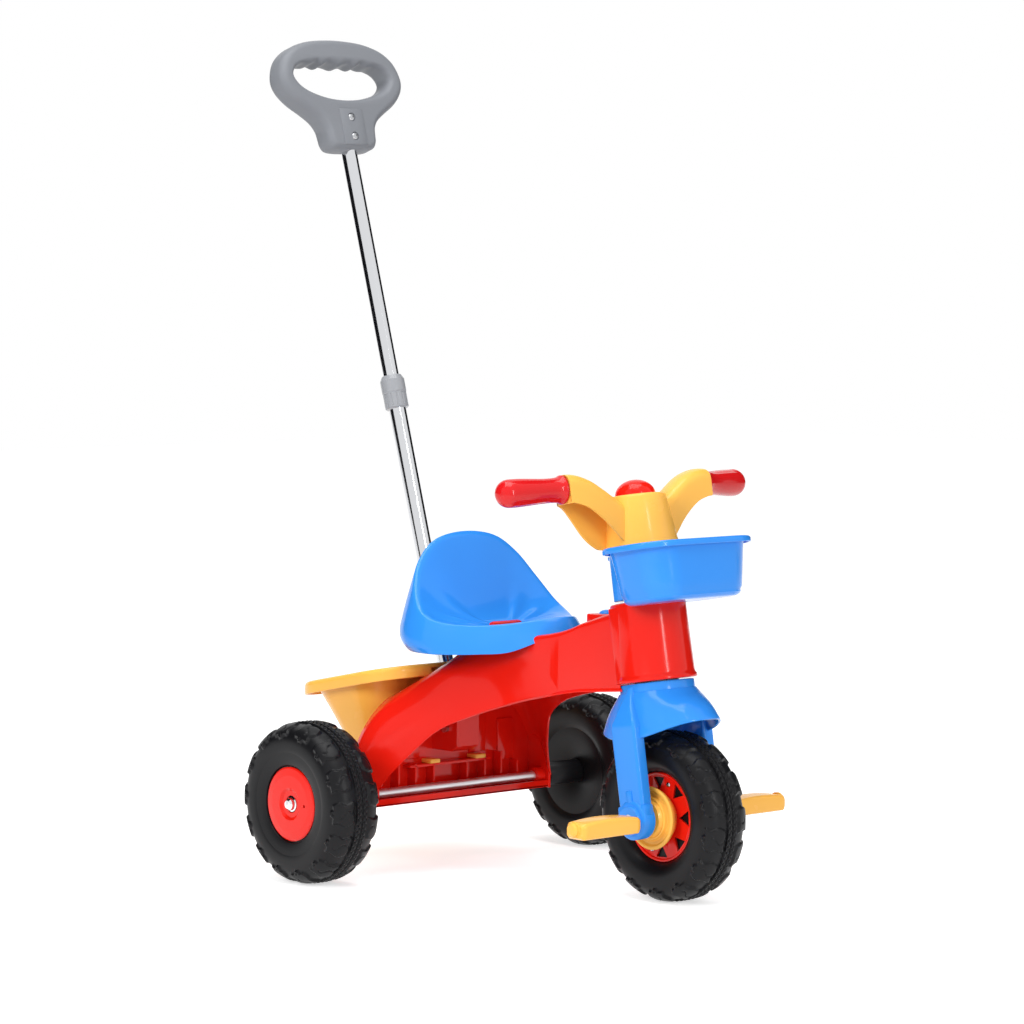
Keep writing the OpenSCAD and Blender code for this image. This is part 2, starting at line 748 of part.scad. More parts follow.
module socket_screw() {
  half = socket_w / 2;
  color(STEEL) on_bar() translate([0, 0, bolt_at]) rotate([0, 90, 0]) rotate_extrude() polygon([
    [0, -half - 4], [bolt_d, -half - 4], [bolt_d, -half], [bolt_d / 2, -half],
    [bolt_d / 2, half], [bolt_d - 0.6, half], [bolt_d - 0.6, half + 2.4], [bolt_d - 2, half + 3],
    [0, half + 3]
  ]);
}

module push_tube_upper() {
  foot = collar_at + collar_len / 2 - tube_insert;
  color(STEEL) on_bar() translate([0, 0, foot]) difference() {
    cylinder(h = handle_base + tube_in_handle - foot, d = upper_tube_d);
    translate([0, 0, -1])
      cylinder(h = handle_base + tube_in_handle - foot + 2, d = upper_tube_d - 2 * upper_tube_wall);
    for (t = screw_drops) translate([0, 0, handle_top - t - foot]) rotate([90, 0, 0])
      cylinder(h = upper_tube_d + 4, d = screw_d + 0.6);
  }
}

// Push handle: right halves of its outline and of its opening, as [x, distance below the top]
handle_line = [
  [0, 0], [28, 1.5], [47, 5], [65, 12], [80, 25], [handle_w / 2, 44], [84, 59], [72, 73],
  [54, 85], [42, 94], [36, 103], [34, 112], [32, 119], [25, 125.5], [13, handle_len],
  [0, handle_len]
];
opening_line = [
  [0, 27], [9, 30], [18, 30], [27, 27], [36, 30], [46, 30], [57, 31], [65, 37], [67, 46],
  [55, 58], [29, 67], [0, 70]
];
screw_drops = [92, 114];
pad_half = 16;
pad_len = 40;

function handle_ring(line, d) =
  [for (p = inset(smooth_loop(mirrored(line), 2), d)) [p[0], handle_top - p[1]]];

// Slab with rounded edges: grow is 1 for a solid and -1 for an opening through it
module round_slab(line, grow) {
  skin([
    for (a = [-90 : 22.5 : 90])
      let (y = handle_flat * (a < 0 ? -1 : 1) + handle_round * sin(a),
           d = handle_round * (1 - cos(a)) * grow)
      [for (p = handle_ring(line, d)) [p[0], y * (grow < 0 ? 1.01 : 1), p[1]]]
  ]);
}

module push_handle() {
  color(GREY) on_bar() difference() {
    union() {
      difference() {
        round_slab(handle_line, 1);
        round_slab(opening_line, -1);
      }
      // Raised pad round the screws
      translate([-pad_half, -handle_t / 2 - 1, handle_base + 4])
        cube([2 * pad_half, 12, pad_len]);
    }
    translate([0, 0, handle_base - 1])
      cylinder(h = tube_in_handle + 2, d = upper_tube_d + 2 * run_gap);
    for (t = screw_drops) translate([0, 0, handle_top - t]) rotate([90, 0, 0]) {
      cylinder(h = handle_t, d = screw_d + 2 * run_gap);
      translate([0, 0, handle_t / 2 - 1]) cylinder(h = 6, d = 10);
    }
  }
}

module handle_screws() {
  face = handle_t / 2 - 1;
  color(STEEL) on_bar() for (t = screw_drops)
    translate([0, 0, handle_top - t]) rotate([90, 0, 0]) rotate_extrude() polygon([
      [0, 1], [screw_d / 2, 1], [screw_d / 2, face], [4.4, face], [4.4, face + 1],
      [3.2, face + 2.2], [0, face + 2.6]
    ]);
}

// Wheels

// Loop of a tyre's section as [radius, offset from the middle]
function tyre_loop(mid_r, half_h, half_w, n = 24) =
  [for (i = [0 : n - 1])
    let (c = cos(360 * i / n), s = sin(360 * i / n))
    [mid_r + half_h * sign(c) * pow(abs(c), 0.85), half_w * sign(s) * pow(abs(s), 0.85)]];

// Hollow blown tyre about the Z axis, with a tread band and lugs on both shoulders
module tyre_shell(outer_r, inner_r, half_w) {
  crown = outer_r - lug_h;
  mid_r = (crown + inner_r) / 2;
  half_h = (crown - inner_r) / 2;
  side_w = half_w - lug_h;
  top = tyre_loop(mid_r, half_h + lug_h, half_w);
  low = tyre_loop(mid_r, half_h - 1.2, side_w - 1.2);
  lug = [top[2], top[3], top[4], low[4], low[3], low[2]];
  pitch = 360 / lug_count;
  rotate_extrude() difference() {
    polygon(tyre_loop(mid_r, half_h, side_w));
    polygon(tyre_loop(mid_r, half_h - tyre_wall, side_w - tyre_wall));
  }
  rotate_extrude() translate([crown - 1.6, -tread_w / 2]) square([1.6 + lug_h, tread_w]);
  for (k = [0 : lug_count - 1], side = [0, 1])
    rotate([0, 0, (k + side / 2) * pitch]) mirror([0, 0, side])
      rotate_extrude(angle = 0.62 * pitch) polygon(lug);
}

rear_rim_r = 40;
rear_web_r = 45;
web_t = 3;
hub_rib_len = 27;

module rear_tyre(side) {
  color(BLACK) on_rear_wheel(side) difference() {
    union() {
      tyre_shell(rear_wheel_d / 2, rear_rim_r, rear_tyre_w / 2);
      translate([0, 0, web_out - web_t]) cylinder(h = web_t, r = rear_web_r);
      translate([0, 0, 3 - web_out]) cylinder(h = web_t, r = rear_web_r);
      translate([0, 0, -hub_in]) cylinder(h = hub_in + web_out - 1, d = rear_hub_d);
      // Ribs between the hub tube and the rim, on the inner face
      for (k = [0 : 5]) rotate([0, 0, 60 * k]) translate([rear_hub_d / 2 - 1, -web_t / 2, -web_out - 5])
        cube([hub_rib_len, web_t, 10]);
    }
    translate([0, 0, -hub_in - 1])
      cylinder(h = hub_in + web_out + 2, d = rear_axle_d + 2 * run_gap);
  }
}

module rear_disc(side) {
  r = rear_disc_d / 2;
  color(RED) on_rear_wheel(side) translate([0, 0, web_out]) difference() {
    rotate_extrude() polygon([
      [axle_cap_d / 2 + 1, 0], [r, 0], [r, 1.8], [r - 1.5, 2.8], [r - 9, 3.6], [17, 4],
      [14, 1.6], [axle_cap_d / 2 + 1, 1.4]
    ]);
    rotate([0, 0, side * 90]) translate([24, 0, -1]) cylinder(h = 8, d = 3.4);
  }
}

module rear_tyre_right() { rear_tyre(-1); }
module rear_tyre_left() { rear_tyre(1); }
module rear_disc_right() { rear_disc(-1); }
module rear_disc_left() { rear_disc(1); }

front_rim_r = 44;
front_web_r = 50;
front_web_x = 14;
disc_t = 2.6;
disc_rim_t = 4;
hub_tip = leg_x - leg_t / 2 - 1.8;
disc_screw_r = 38.5;
disc_screw_d = 2.6;
disc_screw_count = 5;

module front_tyre() {
  color(BLACK) on_front_wheel() rotate([0, 90, 0]) difference() {
    union() {
      tyre_shell(front_wheel_d / 2, front_rim_r, front_tyre_w / 2);
      for (side = [0, 1]) mirror([0, 0, side]) translate([0, 0, front_web_x - web_t])
        cylinder(h = web_t, r = front_web_r);
      cylinder(h = 2 * front_web_x - 1, d = 24, center = true);
    }
    cylinder(h = 100, d = crank_d + 2 * run_gap, center = true);
    for (side = [0, 1]) mirror([0, 0, side]) disc_screw_holes();
  }
}

// Holes for the disc's screws, half way between the windows
module disc_screw_holes() {
  for (k = [0 : disc_screw_count - 1]) rotate([0, 0, 18 + 360 / disc_screw_count * k])
    translate([disc_screw_r, 0, front_web_x - web_t - 1])
      cylinder(h = 20, d = disc_screw_d + 2 * run_gap);
}

// Red disc with triangular windows between a raised rim and the hub
module front_disc(side) {
  r = front_disc_d / 2;
  tip_r = 31;
  base_r = r - 4;
  base_w = 17;
  color(RED) on_front_wheel() outward(side) difference() {
    rotate_extrude() translate([0, front_web_x]) polygon([
      [crank_d / 2 + run_gap, 0], [r - 1, 0], [r, 1.2], [r, disc_rim_t - 1], [r - 0.8, disc_rim_t],
      [r - 2.4, disc_rim_t], [r - 3.4, disc_t], [crank_d / 2 + run_gap, disc_t]
    ]);
    for (k = [0 : window_count - 1]) rotate([0, 0, 360 / window_count * k])
      translate([0, 0, front_web_x - 1]) linear_extrude(10)
        polygon([[tip_r, 0], [base_r, -base_w / 2], [base_r, base_w / 2]]);
    disc_screw_holes();
  }
}

// Stepped yellow hub that fills the space between disc and fork leg
module front_hub(side) {
  r = front_hub_d / 2;
  foot = front_web_x + disc_t;
  color(YELLOW) on_front_wheel() outward(side) rotate_extrude() polygon([
    [crank_d / 2 + run_gap, foot], [r, foot], [r, foot + 2], [r - 2.4, foot + 4.6],
    [r - 5, foot + 4.6], [r - 6.5, foot + 2.6], [21, foot + 2.6], [19.6, foot + 4.4],
    [19, foot + 12], [13, foot + 13], [12, hub_tip], [crank_d / 2 + run_gap, hub_tip]
  ]);
}

module disc_screws() {
  seat_z = front_web_x + disc_t;
  color(STEEL) on_front_wheel() for (side = [-1, 1], k = [0 : disc_screw_count - 1])
    outward(side) rotate([0, 0, 18 + 360 / disc_screw_count * k])
      translate([disc_screw_r, 0, 0]) rotate_extrude() polygon([
        [0, front_web_x - web_t], [disc_screw_d / 2, front_web_x - web_t],
        [disc_screw_d / 2, seat_z], [2.3, seat_z], [2.3, seat_z + 0.5], [1.6, seat_z + 1.3],
        [0, seat_z + 1.5]
      ]);
}

module front_disc_right() { front_disc(-1); }
module front_disc_left() { front_disc(1); }
module front_hub_right() { front_hub(-1); }
module front_hub_left() { front_hub(1); }

// Crank and pedals

arm_x = 64;
bend_r = 8;
stop_t = 3.5;
throw_y = -crank_throw * cos(crank_angle);
throw_z = crank_throw * sin(crank_angle);

function pedal_x(side) = side > 0 ? left_pedal_x : right_pedal_x;

// Puts a pedal's parts on its spindle: the right one leads, the left one follows
module on_spindle(side) {
  on_front_wheel() translate([0, -side * throw_y, -side * throw_z]) outward(side) children();
}

// One end of the crank, drawn with the wheel's axis along X and the throw along Y
module crank_end(reach) {
  translate([arm_x, bend_r, 0]) rotate([0, 0, -90]) rotate_extrude(angle = 90)
    translate([bend_r, 0]) circle(d = crank_d);
  translate([arm_x + bend_r, bend_r, 0]) rotate([-90, 0, 0])
    cylinder(h = crank_throw - 2 * bend_r, d = crank_d);
  translate([arm_x + 2 * bend_r, crank_throw - bend_r, 0]) rotate([0, 0, 90])
    rotate_extrude(angle = 90) translate([bend_r, 0]) circle(d = crank_d);
  translate([arm_x + 2 * bend_r, crank_throw, 0]) rotate([0, 90, 0])
    cylinder(h = reach - arm_x - 2 * bend_r, d = crank_d);
}

module crank() {
  color(STEEL) {
    on_front_wheel() rotate([0, 90, 0]) cylinder(h = 2 * arm_x, d = crank_d, center = true);
    for (side = [-1, 1])
      on_front_wheel() rotate([-crank_angle, 0, 0]) rotate([0, 0, side > 0 ? 0 : 180])
        crank_end(pedal_x(side) + pedal_len + 3);
    // Shoulders outside the fork's feet
    for (side = [-1, 1]) on_front_wheel() outward(side) translate([0, 0, foot_out + body_gap])
      cylinder(h = 3, d = crank_d + 3);
    // Swaged collars that stop the pedals
    for (side = [-1, 1]) on_spindle(side) translate([0, 0, pedal_x(side) - stop_t - body_gap])
      cylinder(h = stop_t, d = crank_d + 3);
  }
}

module pedal_caps() {
  far = 3 - body_gap + run_gap;
  r = crank_d / 2;
  color(YELLOW) for (side = [-1, 1])
    on_spindle(side) translate([0, 0, pedal_x(side) + pedal_len + body_gap]) rotate_extrude()
      polygon([
        [r + run_gap, 0], [r + 3, 0], [r + 3, far - 0.5], [r + 1, far + 1.4], [0, far + 1.8],
        [0, far], [r + run_gap, far]
      ]);
}

// Barrel-topped pedal with a flat underside
module pedal(side) {
  half = pedal_w / 2;
  low = -10;
  end_top = 6;
  near = pedal_x(side);
  color(YELLOW) on_front_wheel() translate([0, -side * throw_y, -side * throw_z]) difference() {
    skin([for (k = [0 : 8])
      let (t = k / 8, rise = (pedal_h - end_top + low) * (1 - pow(2 * t - 1, 2)),
           top = end_top + rise, edge = (k == 0 || k == 8) ? 1.5 : 0)
      [for (p = rounded_rect(half - edge, (top - low) / 2 - edge, 3.5, 3))
        [side * near + (side > 0 ? t : t - 1) * pedal_len, p[0], p[1] + (top + low) / 2]]
    ]);
    outward(side) cylinder(h = near + pedal_len + 10, d = crank_d + 2 * run_gap);
    // Two long grooves in each tread face
    for (y = [-1, 1] * 7) translate([side * (near + pedal_len / 2), y, low - 1])
      cube([pedal_len - 20, 5, 4], center = true);
  }
}

module pedal_right() { pedal(-1); }
module pedal_left() { pedal(1); }

// Fork

foot_r = 20;
foot_in = leg_x - leg_t / 2 - 0.4;
foot_out = 62;
foot_bush_d = crank_d + 5;
crown_z = 115;
stem_top = 292;
rod_top = 318;
rod_foot = crown_z - 5;

function oval(a, b, z, n = 36) = [for (i = [0 : n - 1]) [a * cos(360 * i / n), b * sin(360 * i / n), z]];

// Bell-shaped fender: half widths across and along the wheel, by height
module fender() {
  skin([
    oval(36, 50, crown_z), oval(42, 57, crown_z - 7), oval(46.5, 64, fender_base + 5),
    oval(47.5, 65, fender_base), oval(50.5, 68, fender_base), oval(50.5, 68, fender_base + 2.5),
    oval(48.5, 64, fender_base + 8), oval(46, 57, fender_base + 16), oval(43.5, 50, fender_base + 22),
    oval(41, 43, fender_base + 28), oval(collar_r - 3, collar_r - 3, fender_base + 34)
  ]);
}

module fork_leg(side) {
  stations = [
    [0, leg_w / 2, 0], [40, leg_w / 2, 0], [70, leg_w / 2 + 0.5, 0], [86, leg_w / 2 + 3, 0],
    [98, leg_w / 2 + 8, -1], [108, leg_w / 2 + 9, -5], [118, leg_w / 2 + 3, -11]
  ];
  skin([for (s = stations)
    [for (p = rounded_rect(leg_t / 2, s[1], 5.5, 4)) [p[0] + side * (leg_x + s[2]), p[1], s[0]]]]);
}

module fork() {
  collar_top = head_base - bush_flange - run_gap;
  color(BLUE) on_steering() difference() {
    union() {
      fender();
      translate([0, 0, crown_z]) cylinder(h = collar_top - crown_z, r = collar_r);
      for (side = [-1, 1]) {
        fork_leg(side);
        translate([side * foot_in, 0, 0]) outward(side)
          cylinder(h = foot_out - foot_in, r = foot_r);
        // Gusset between the leg and the foot's boss
        translate([side * (leg_x + leg_t / 2 + 1) - 3, -4, foot_r - 6]) cube([6, 8, 14]);
      }
      cylinder(h = stem_top, d = stem_d);
    }
    // The space of the wheel under the crown
    translate([0, 0, -1]) cylinder(h = crown_z + 1, d = stem_d + 2);
    translate([0, 0, crown_z - 1]) cylinder(h = stem_top, d = rod_d + 2 * run_gap);
    rotate([0, 90, 0]) cylinder(h = 3 * foot_out, d = foot_bush_d + 2 * run_gap, center = true);
  }
}

// Flanged bushes that carry the crank in the fork's feet
module foot_bushes() {
  color(WHITE) on_front_wheel() for (side = [-1, 1]) outward(side) rotate_extrude() polygon([
    [crank_d / 2 + run_gap, foot_in - 1], [foot_bush_d / 2 + 3, foot_in - 1],
    [foot_bush_d / 2 + 3, foot_in], [foot_bush_d / 2, foot_in], [foot_bush_d / 2, foot_out],
    [crank_d / 2 + run_gap, foot_out]
  ]);
}

// Rod with a flat head under the crown
module steering_rod() {
  color(STEEL) on_steering() rotate_extrude() polygon([
    [0, rod_foot], [rod_d, rod_foot], [rod_d, crown_z], [rod_d / 2, crown_z],
    [rod_d / 2, rod_top - 1], [rod_d / 2 - 1, rod_top], [0, rod_top]
  ]);
}

module rod_nut() {
  color(STEEL) on_steering() translate([0, 0, well_floor]) difference() {
    cylinder(h = 6, d = 14, $fn = 6);
    translate([0, 0, -1]) cylinder(h = 8, d = rod_d + 2 * run_gap);
  }
}

// Handlebar

column_base = 275;
well_floor = 309;
well_d = button_d + 2 * body_gap;
sweep = 12;
grip_y = 3;
grip_z = 339;
spigot_d = 20;
spigot_root = 7;
spigot_short = 12;
arm_depth = 15;
arm_wall = 2.6;
hollow_shift = 0.4;

// Right arm seen from the front, as [x, z] of its top and bottom edges
arm_top = [[18, 318], [36, 328], [52, 338.5], [66, 347], [79, 352], [89, 354], [grip_x, 354]];
arm_bottom = [[18, 276], [42, 276], [53, 280], [66, 290.5], [79, 307], [89, 319], [grip_x, 324]];

// Ring across the arm between a top and a bottom point
function arm_ring(side, t, b, depth) =
  [for (i = [0 : 15])
    let (c = cos(22.5 * i), s = sin(22.5 * i), m = (t + b) / 2, h = (t - b) / 2,
         u = sign(c) * pow(abs(c), 0.55), w = sign(s) * pow(abs(s), 0.55), q = m + h * u,
         slant = tan(sweep) * pow(q[0] / grip_x, 3))
    [side * (q[0] - depth * w * slant), grip_y * q[0] / grip_x + depth * w, q[1]]];

module sided_skin(side, rings) { skin(side < 0 ? rings : reversed(rings)); }

module arm(side) {
  tops = smooth(arm_top, 2);
  bottoms = smooth(arm_bottom, 2);
  last = len(tops) - 1;
  difference() {
    sided_skin(side, [for (i = [0 : last]) arm_ring(side, tops[i], bottoms[i], arm_depth)]);
    // Hollow, open along the underside, with the thicker wall in front
    translate([0, hollow_shift, 0]) sided_skin(side, [for (i = [2 : last - 3])
      let (t = (tops[i] + tops[i + 1]) / 2, b = (bottoms[i] + bottoms[i + 1]) / 2,
           n = (t - b) / norm(t - b))
      arm_ring(side, t - n * arm_wall, b - n * 12, arm_depth - arm_wall)]);
    // The front wall ends higher than the rear one
    translate([0, -8, 0]) rotate([90, 0, 0]) linear_extrude(20)
      polygon([for (p = [[38, 262], [40, 290], [53, 302], [65, 312], [76, 321], [86, 325],
        [88, 300]]) [side * p[0], p[1]]]);
  }
}

// Puts a part drawn along Z on a grip's axis, at the end of the arm
module on_grip(side) {
  translate([side * grip_x, grip_y, grip_z]) rotate([0, 0, side * sweep]) outward(side) children();
}

module handlebar() {
  color(YELLOW) on_steering() difference() {
    union() {
      for (side = [-1, 1]) {
        arm(side);
        on_grip(side) translate([0, 0, -spigot_root])
          cylinder(h = spigot_root + grip_len - spigot_short, d = spigot_d);
      }
      rotate_extrude() polygon([
        [0, column_base], [38, column_base], [37.2, column_base + 8], [31.6, column_top - 3],
        [30.2, column_top - 0.8], [28.6, column_top], [0, column_top]
      ]);
    }
    // Socket of the stem, hole of the rod and well of the button
    translate([0, 0, column_base - 1])
      cylinder(h = stem_top - column_base + 1.3, d = stem_d + 2 * run_gap);
    cylinder(h = column_top, d = rod_d + 2 * run_gap);
    translate([0, 0, well_floor]) cylinder(h = 40, d = well_d);
  }
}

module grip(side) {
  r = grip_d / 2;
  color(DARK_RED) on_steering() on_grip(side) translate([0, 0, body_gap])
    difference() {
      rotate_extrude() polygon(concat(
        [[0, 0], [r + 0.4, 0], [r + 0.4, 3], [r - 0.6, 4.6]],
        [for (k = [1 : 6]) [r - 0.6 - 0.9 * sin(180 * k / 6), 4.6 + 8.4 * k]],
        [[r, grip_len - 16]],
        [for (a = [15 : 15 : 90]) [r * cos(a), grip_len - 14 + 14 * sin(a)]]
      ));
      translate([0, 0, -5]) cylinder(h = 5 + grip_len - spigot_short + 2, d = spigot_d + 2 * run_gap);
    }
}

module grip_right() { grip(-1); }
module grip_left() { grip(1); }

// Hollow dome over the column's well
module horn_button() {
  r = button_d / 2;
  rise = 16;
  skirt = 8;
  wall = 2.4;
  color(RED) on_steering() rotate_extrude() translate([0, column_top]) polygon(concat(
    [for (a = [0 : 10 : 90]) [r * cos(a), rise * sin(a)]],
    [for (a = [90 : -15 : 0]) [(r - wall) * cos(a), (rise - wall) * sin(a)]],
    [[r - wall, -skirt], [r, -skirt]]
  ));
}

// Bellows on the floor of the well, under the button
module squeaker() {
  r = 16;
  bore_r = 8.5;
  pleats = 4;
  h = column_top - well_floor + 8 - button_travel;
  pitch = (h - 10) / pleats;
  color(BLACK) on_steering() translate([0, 0, well_floor]) rotate_extrude() polygon(concat(
    [[bore_r, 0], [r, 0]],
    [for (k = [0 : pleats - 1]) each [[r, 3 + pitch * k], [r - 2, 3 + pitch * (k + 0.5)]]],
    [[r - 0.5, h - 7], [r - 4, h], [bore_r, h]]
  ));
}

// Basket

basket_y = -52;
sleeve_r = 34;
sleeve_top = 272;
pad_r = 44.5;

module front_basket() {
  half_y = basket_len / 2;
  rim_z = column_base - body_gap;
  foot_z = rim_z - basket_depth;
  foot = [for (p = rounded_rect(basket_half - 21, half_y - 10, 28)) [p[0], p[1] + basket_y, foot_z]];
  brim = [for (p = rounded_rect(basket_half - 10, half_y - 5, 34)) [p[0], p[1] + basket_y, rim_z]];
  lip = [for (p = rounded_rect(basket_half, half_y, 40)) [p[0], p[1] + basket_y, rim_z]];
  color(BLUE) on_steering() difference() {
    union() {
      tray(foot, brim, lip, basket_wall, 4.5);
      translate([0, 0, foot_z]) cylinder(h = 10, r = pad_r);
      translate([0, 0, foot_z]) cylinder(h = rim_z - foot_z, r = sleeve_r);
    }
    cylinder(h = stem_top + head_room, d = stem_d + 2 * run_gap);
    translate([0, 0, head_top - head_room])
      cylinder(h = head_room + bush_flange + run_gap, r = head_d / 2 + 1.5);
  }
}

body_shell();
rear_axle();
axle_washers();
axle_caps();
head_bushes();
spine_plug();
seat();
seat_screws();
rear_bucket();
push_tube_lower();
push_collar();
socket_screw();
push_tube_upper();
push_handle();
handle_screws();
rear_tyre_right();
rear_disc_right();
rear_tyre_left();
rear_disc_left();
fork();
foot_bushes();
steering_rod();
rod_nut();
handlebar();
grip_right();
grip_left();
front_basket();
horn_button();
squeaker();
front_tyre();
front_disc_right();
front_disc_left();
front_hub_right();
front_hub_left();
disc_screws();
crank();
pedal_caps();
pedal_right();
pedal_left();
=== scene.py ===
import math
import bmesh
import bpy
from mathutils import Matrix, Vector
from mathutils.geometry import tessellate_polygon


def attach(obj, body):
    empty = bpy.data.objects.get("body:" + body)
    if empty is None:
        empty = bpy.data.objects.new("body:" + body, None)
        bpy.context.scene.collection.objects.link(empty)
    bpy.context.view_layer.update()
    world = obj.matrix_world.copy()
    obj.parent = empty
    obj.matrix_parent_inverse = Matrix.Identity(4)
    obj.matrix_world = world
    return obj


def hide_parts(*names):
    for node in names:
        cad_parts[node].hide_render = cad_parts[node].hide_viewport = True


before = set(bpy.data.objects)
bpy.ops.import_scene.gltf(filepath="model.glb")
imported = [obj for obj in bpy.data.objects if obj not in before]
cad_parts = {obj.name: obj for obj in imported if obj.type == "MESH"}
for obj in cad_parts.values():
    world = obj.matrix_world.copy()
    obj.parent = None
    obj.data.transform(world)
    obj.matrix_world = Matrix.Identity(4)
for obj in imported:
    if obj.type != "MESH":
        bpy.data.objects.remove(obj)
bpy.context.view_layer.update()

# Studio
# A white sweep under soft lamps, and a long lens at the photographed three-quarter front view.
# The floor is a matte white board that keeps the trike's soft shadow.
azimuth, elevation = math.radians(-42.03), math.radians(3.45)
distance, shift, aim = 4.004, 0.0617, Vector((0, 0.09865, 0.3825))
lens = bpy.data.cameras.new("camera")
lens.lens, lens.sensor_width, lens.clip_end = 130.0, 36, 50
view_back = Vector((math.sin(azimuth) * math.cos(elevation),
                    -math.cos(azimuth) * math.cos(elevation), math.sin(elevation)))
view_right = Vector((math.cos(azimuth), math.sin(azimuth), 0))
view_up = view_back.cross(view_right)


def shown(name, data):
    """A new object in the scene."""
    made = bpy.data.objects.new(name, data)
    bpy.context.scene.collection.objects.link(made)
    return made


camera = shown("camera", lens)
camera.matrix_world = (
    Matrix.Translation(view_right * shift + aim + view_back * distance)
    @ Matrix((view_right, view_up, view_back)).transposed().to_4x4())
bpy.context.scene.camera = camera
bpy.context.scene.view_settings.view_transform = "Standard"


def feed(tree, node, inputs):
    """Gives a node's inputs their values, or links them to other nodes' outputs."""
    for key, value in inputs.items():
        if isinstance(value, bpy.types.NodeSocket):
            tree.links.new(value, node.inputs[key])
        else:
            node.inputs[key].default_value = value
    return node


def add_node(tree, kind, inputs=None, **settings):
    """A new node with its settings and inputs."""
    node = tree.nodes.new(kind)
    for key, value in settings.items():
        setattr(node, key, value)
    return feed(tree, node, inputs or {})


def new_material(name):
    """A material with its node tree and its Principled BSDF."""
    finish = bpy.data.materials.new(name)
    finish.use_nodes = True
    return finish, finish.node_tree, finish.node_tree.nodes["Principled BSDF"]


def seen_directly(tree):
    """1 for rays of the camera, a mirror or clear plastic, 0 for rays that light the trike."""
    path = add_node(tree, "ShaderNodeLightPath")
    total = path.outputs["Is Camera Ray"]
    for ray in ("Is Glossy Ray", "Is Transmission Ray"):
        total = add_node(tree, "ShaderNodeMath", {0: total, 1: path.outputs[ray]},
                         operation="ADD", use_clamp=True).outputs[0]
    return total


def quad(name, corners, finish):
    """One flat face for the studio."""
    mesh = bpy.data.meshes.new(name)
    mesh.from_pydata(corners, [], [(0, 1, 2, 3)])
    mesh.materials.append(finish)
    return shown(name, mesh)


def softbox(name, place, aim, width, height, power, in_mirrors=True):
    """An area lamp aimed at a point, shown in mirrors or not."""
    lamp = bpy.data.lights.new(name, "AREA")
    lamp.shape, lamp.size, lamp.size_y, lamp.energy = "RECTANGLE", width, height, power
    box = shown(name, lamp)
    box.location = place
    box.rotation_euler = (Vector(aim) - Vector(place)).to_track_quat("-Z", "Y").to_euler()
    box.visible_glossy = in_mirrors


world = bpy.data.worlds.new("studio")
world.use_nodes = True
bpy.context.scene.world = world
sky_tree = world.node_tree
glow = add_node(sky_tree, "ShaderNodeMapRange",
                {"Value": seen_directly(sky_tree), "To Min": 0.5, "To Max": 1.0})
feed(sky_tree, sky_tree.nodes["Background"],
     {"Color": (1, 1, 1, 1), "Strength": glow.outputs["Result"]})

board, board_tree, paint = new_material("white board")
lift = add_node(board_tree, "ShaderNodeMapRange",
                {"Value": seen_directly(board_tree), "To Max": 0.58})
feed(board_tree, paint, {
    "Base Color": (0.9, 0.9, 0.9, 1), "Roughness": 0.9, "Specular IOR Level": 0.1,
    "Emission Color": (1, 1, 1, 1), "Emission Strength": lift.outputs["Result"]})
floor = quad("floor", [(-9, -9, 0), (9, -9, 0), (9, 9, 0), (-9, 9, 0)], board)

softbox("key", (-2.3, -0.6, 1.3), (0, 0, 0.3), 0.9, 0.9, 30, False)
softbox("front strip", (-0.3, -2.4, 1.0), (0, 0, 0.35), 0.22, 1.3, 14)
softbox("top box", (-0.3, -0.2, 2.4), (0, 0, 0.3), 1.6, 1.6, 30)

# Black cards beside the sweep, seen only in the chrome, give the tubes their dark edges
card_distance, card_foot, card_top = 3, 0.3, 6
dark, dark_tree, dark_paint = new_material("dark card")
feed(dark_tree, dark_paint, {"Base Color": (0.01, 0.01, 0.012, 1), "Specular IOR Level": 0})
for turns in ((66, 138), (-104, -158)):
    start, end = (card_distance * (view_back * math.cos(math.radians(t))
                                   - view_right * math.sin(math.radians(t))) for t in turns)
    card = quad("dark card", [(p.x, p.y, z) for p, z in (
        (start, card_foot), (end, card_foot), (end, card_top), (start, card_top))], dark)
    card.visible_camera = card.visible_diffuse = card.visible_shadow = False
    card.visible_transmission = False

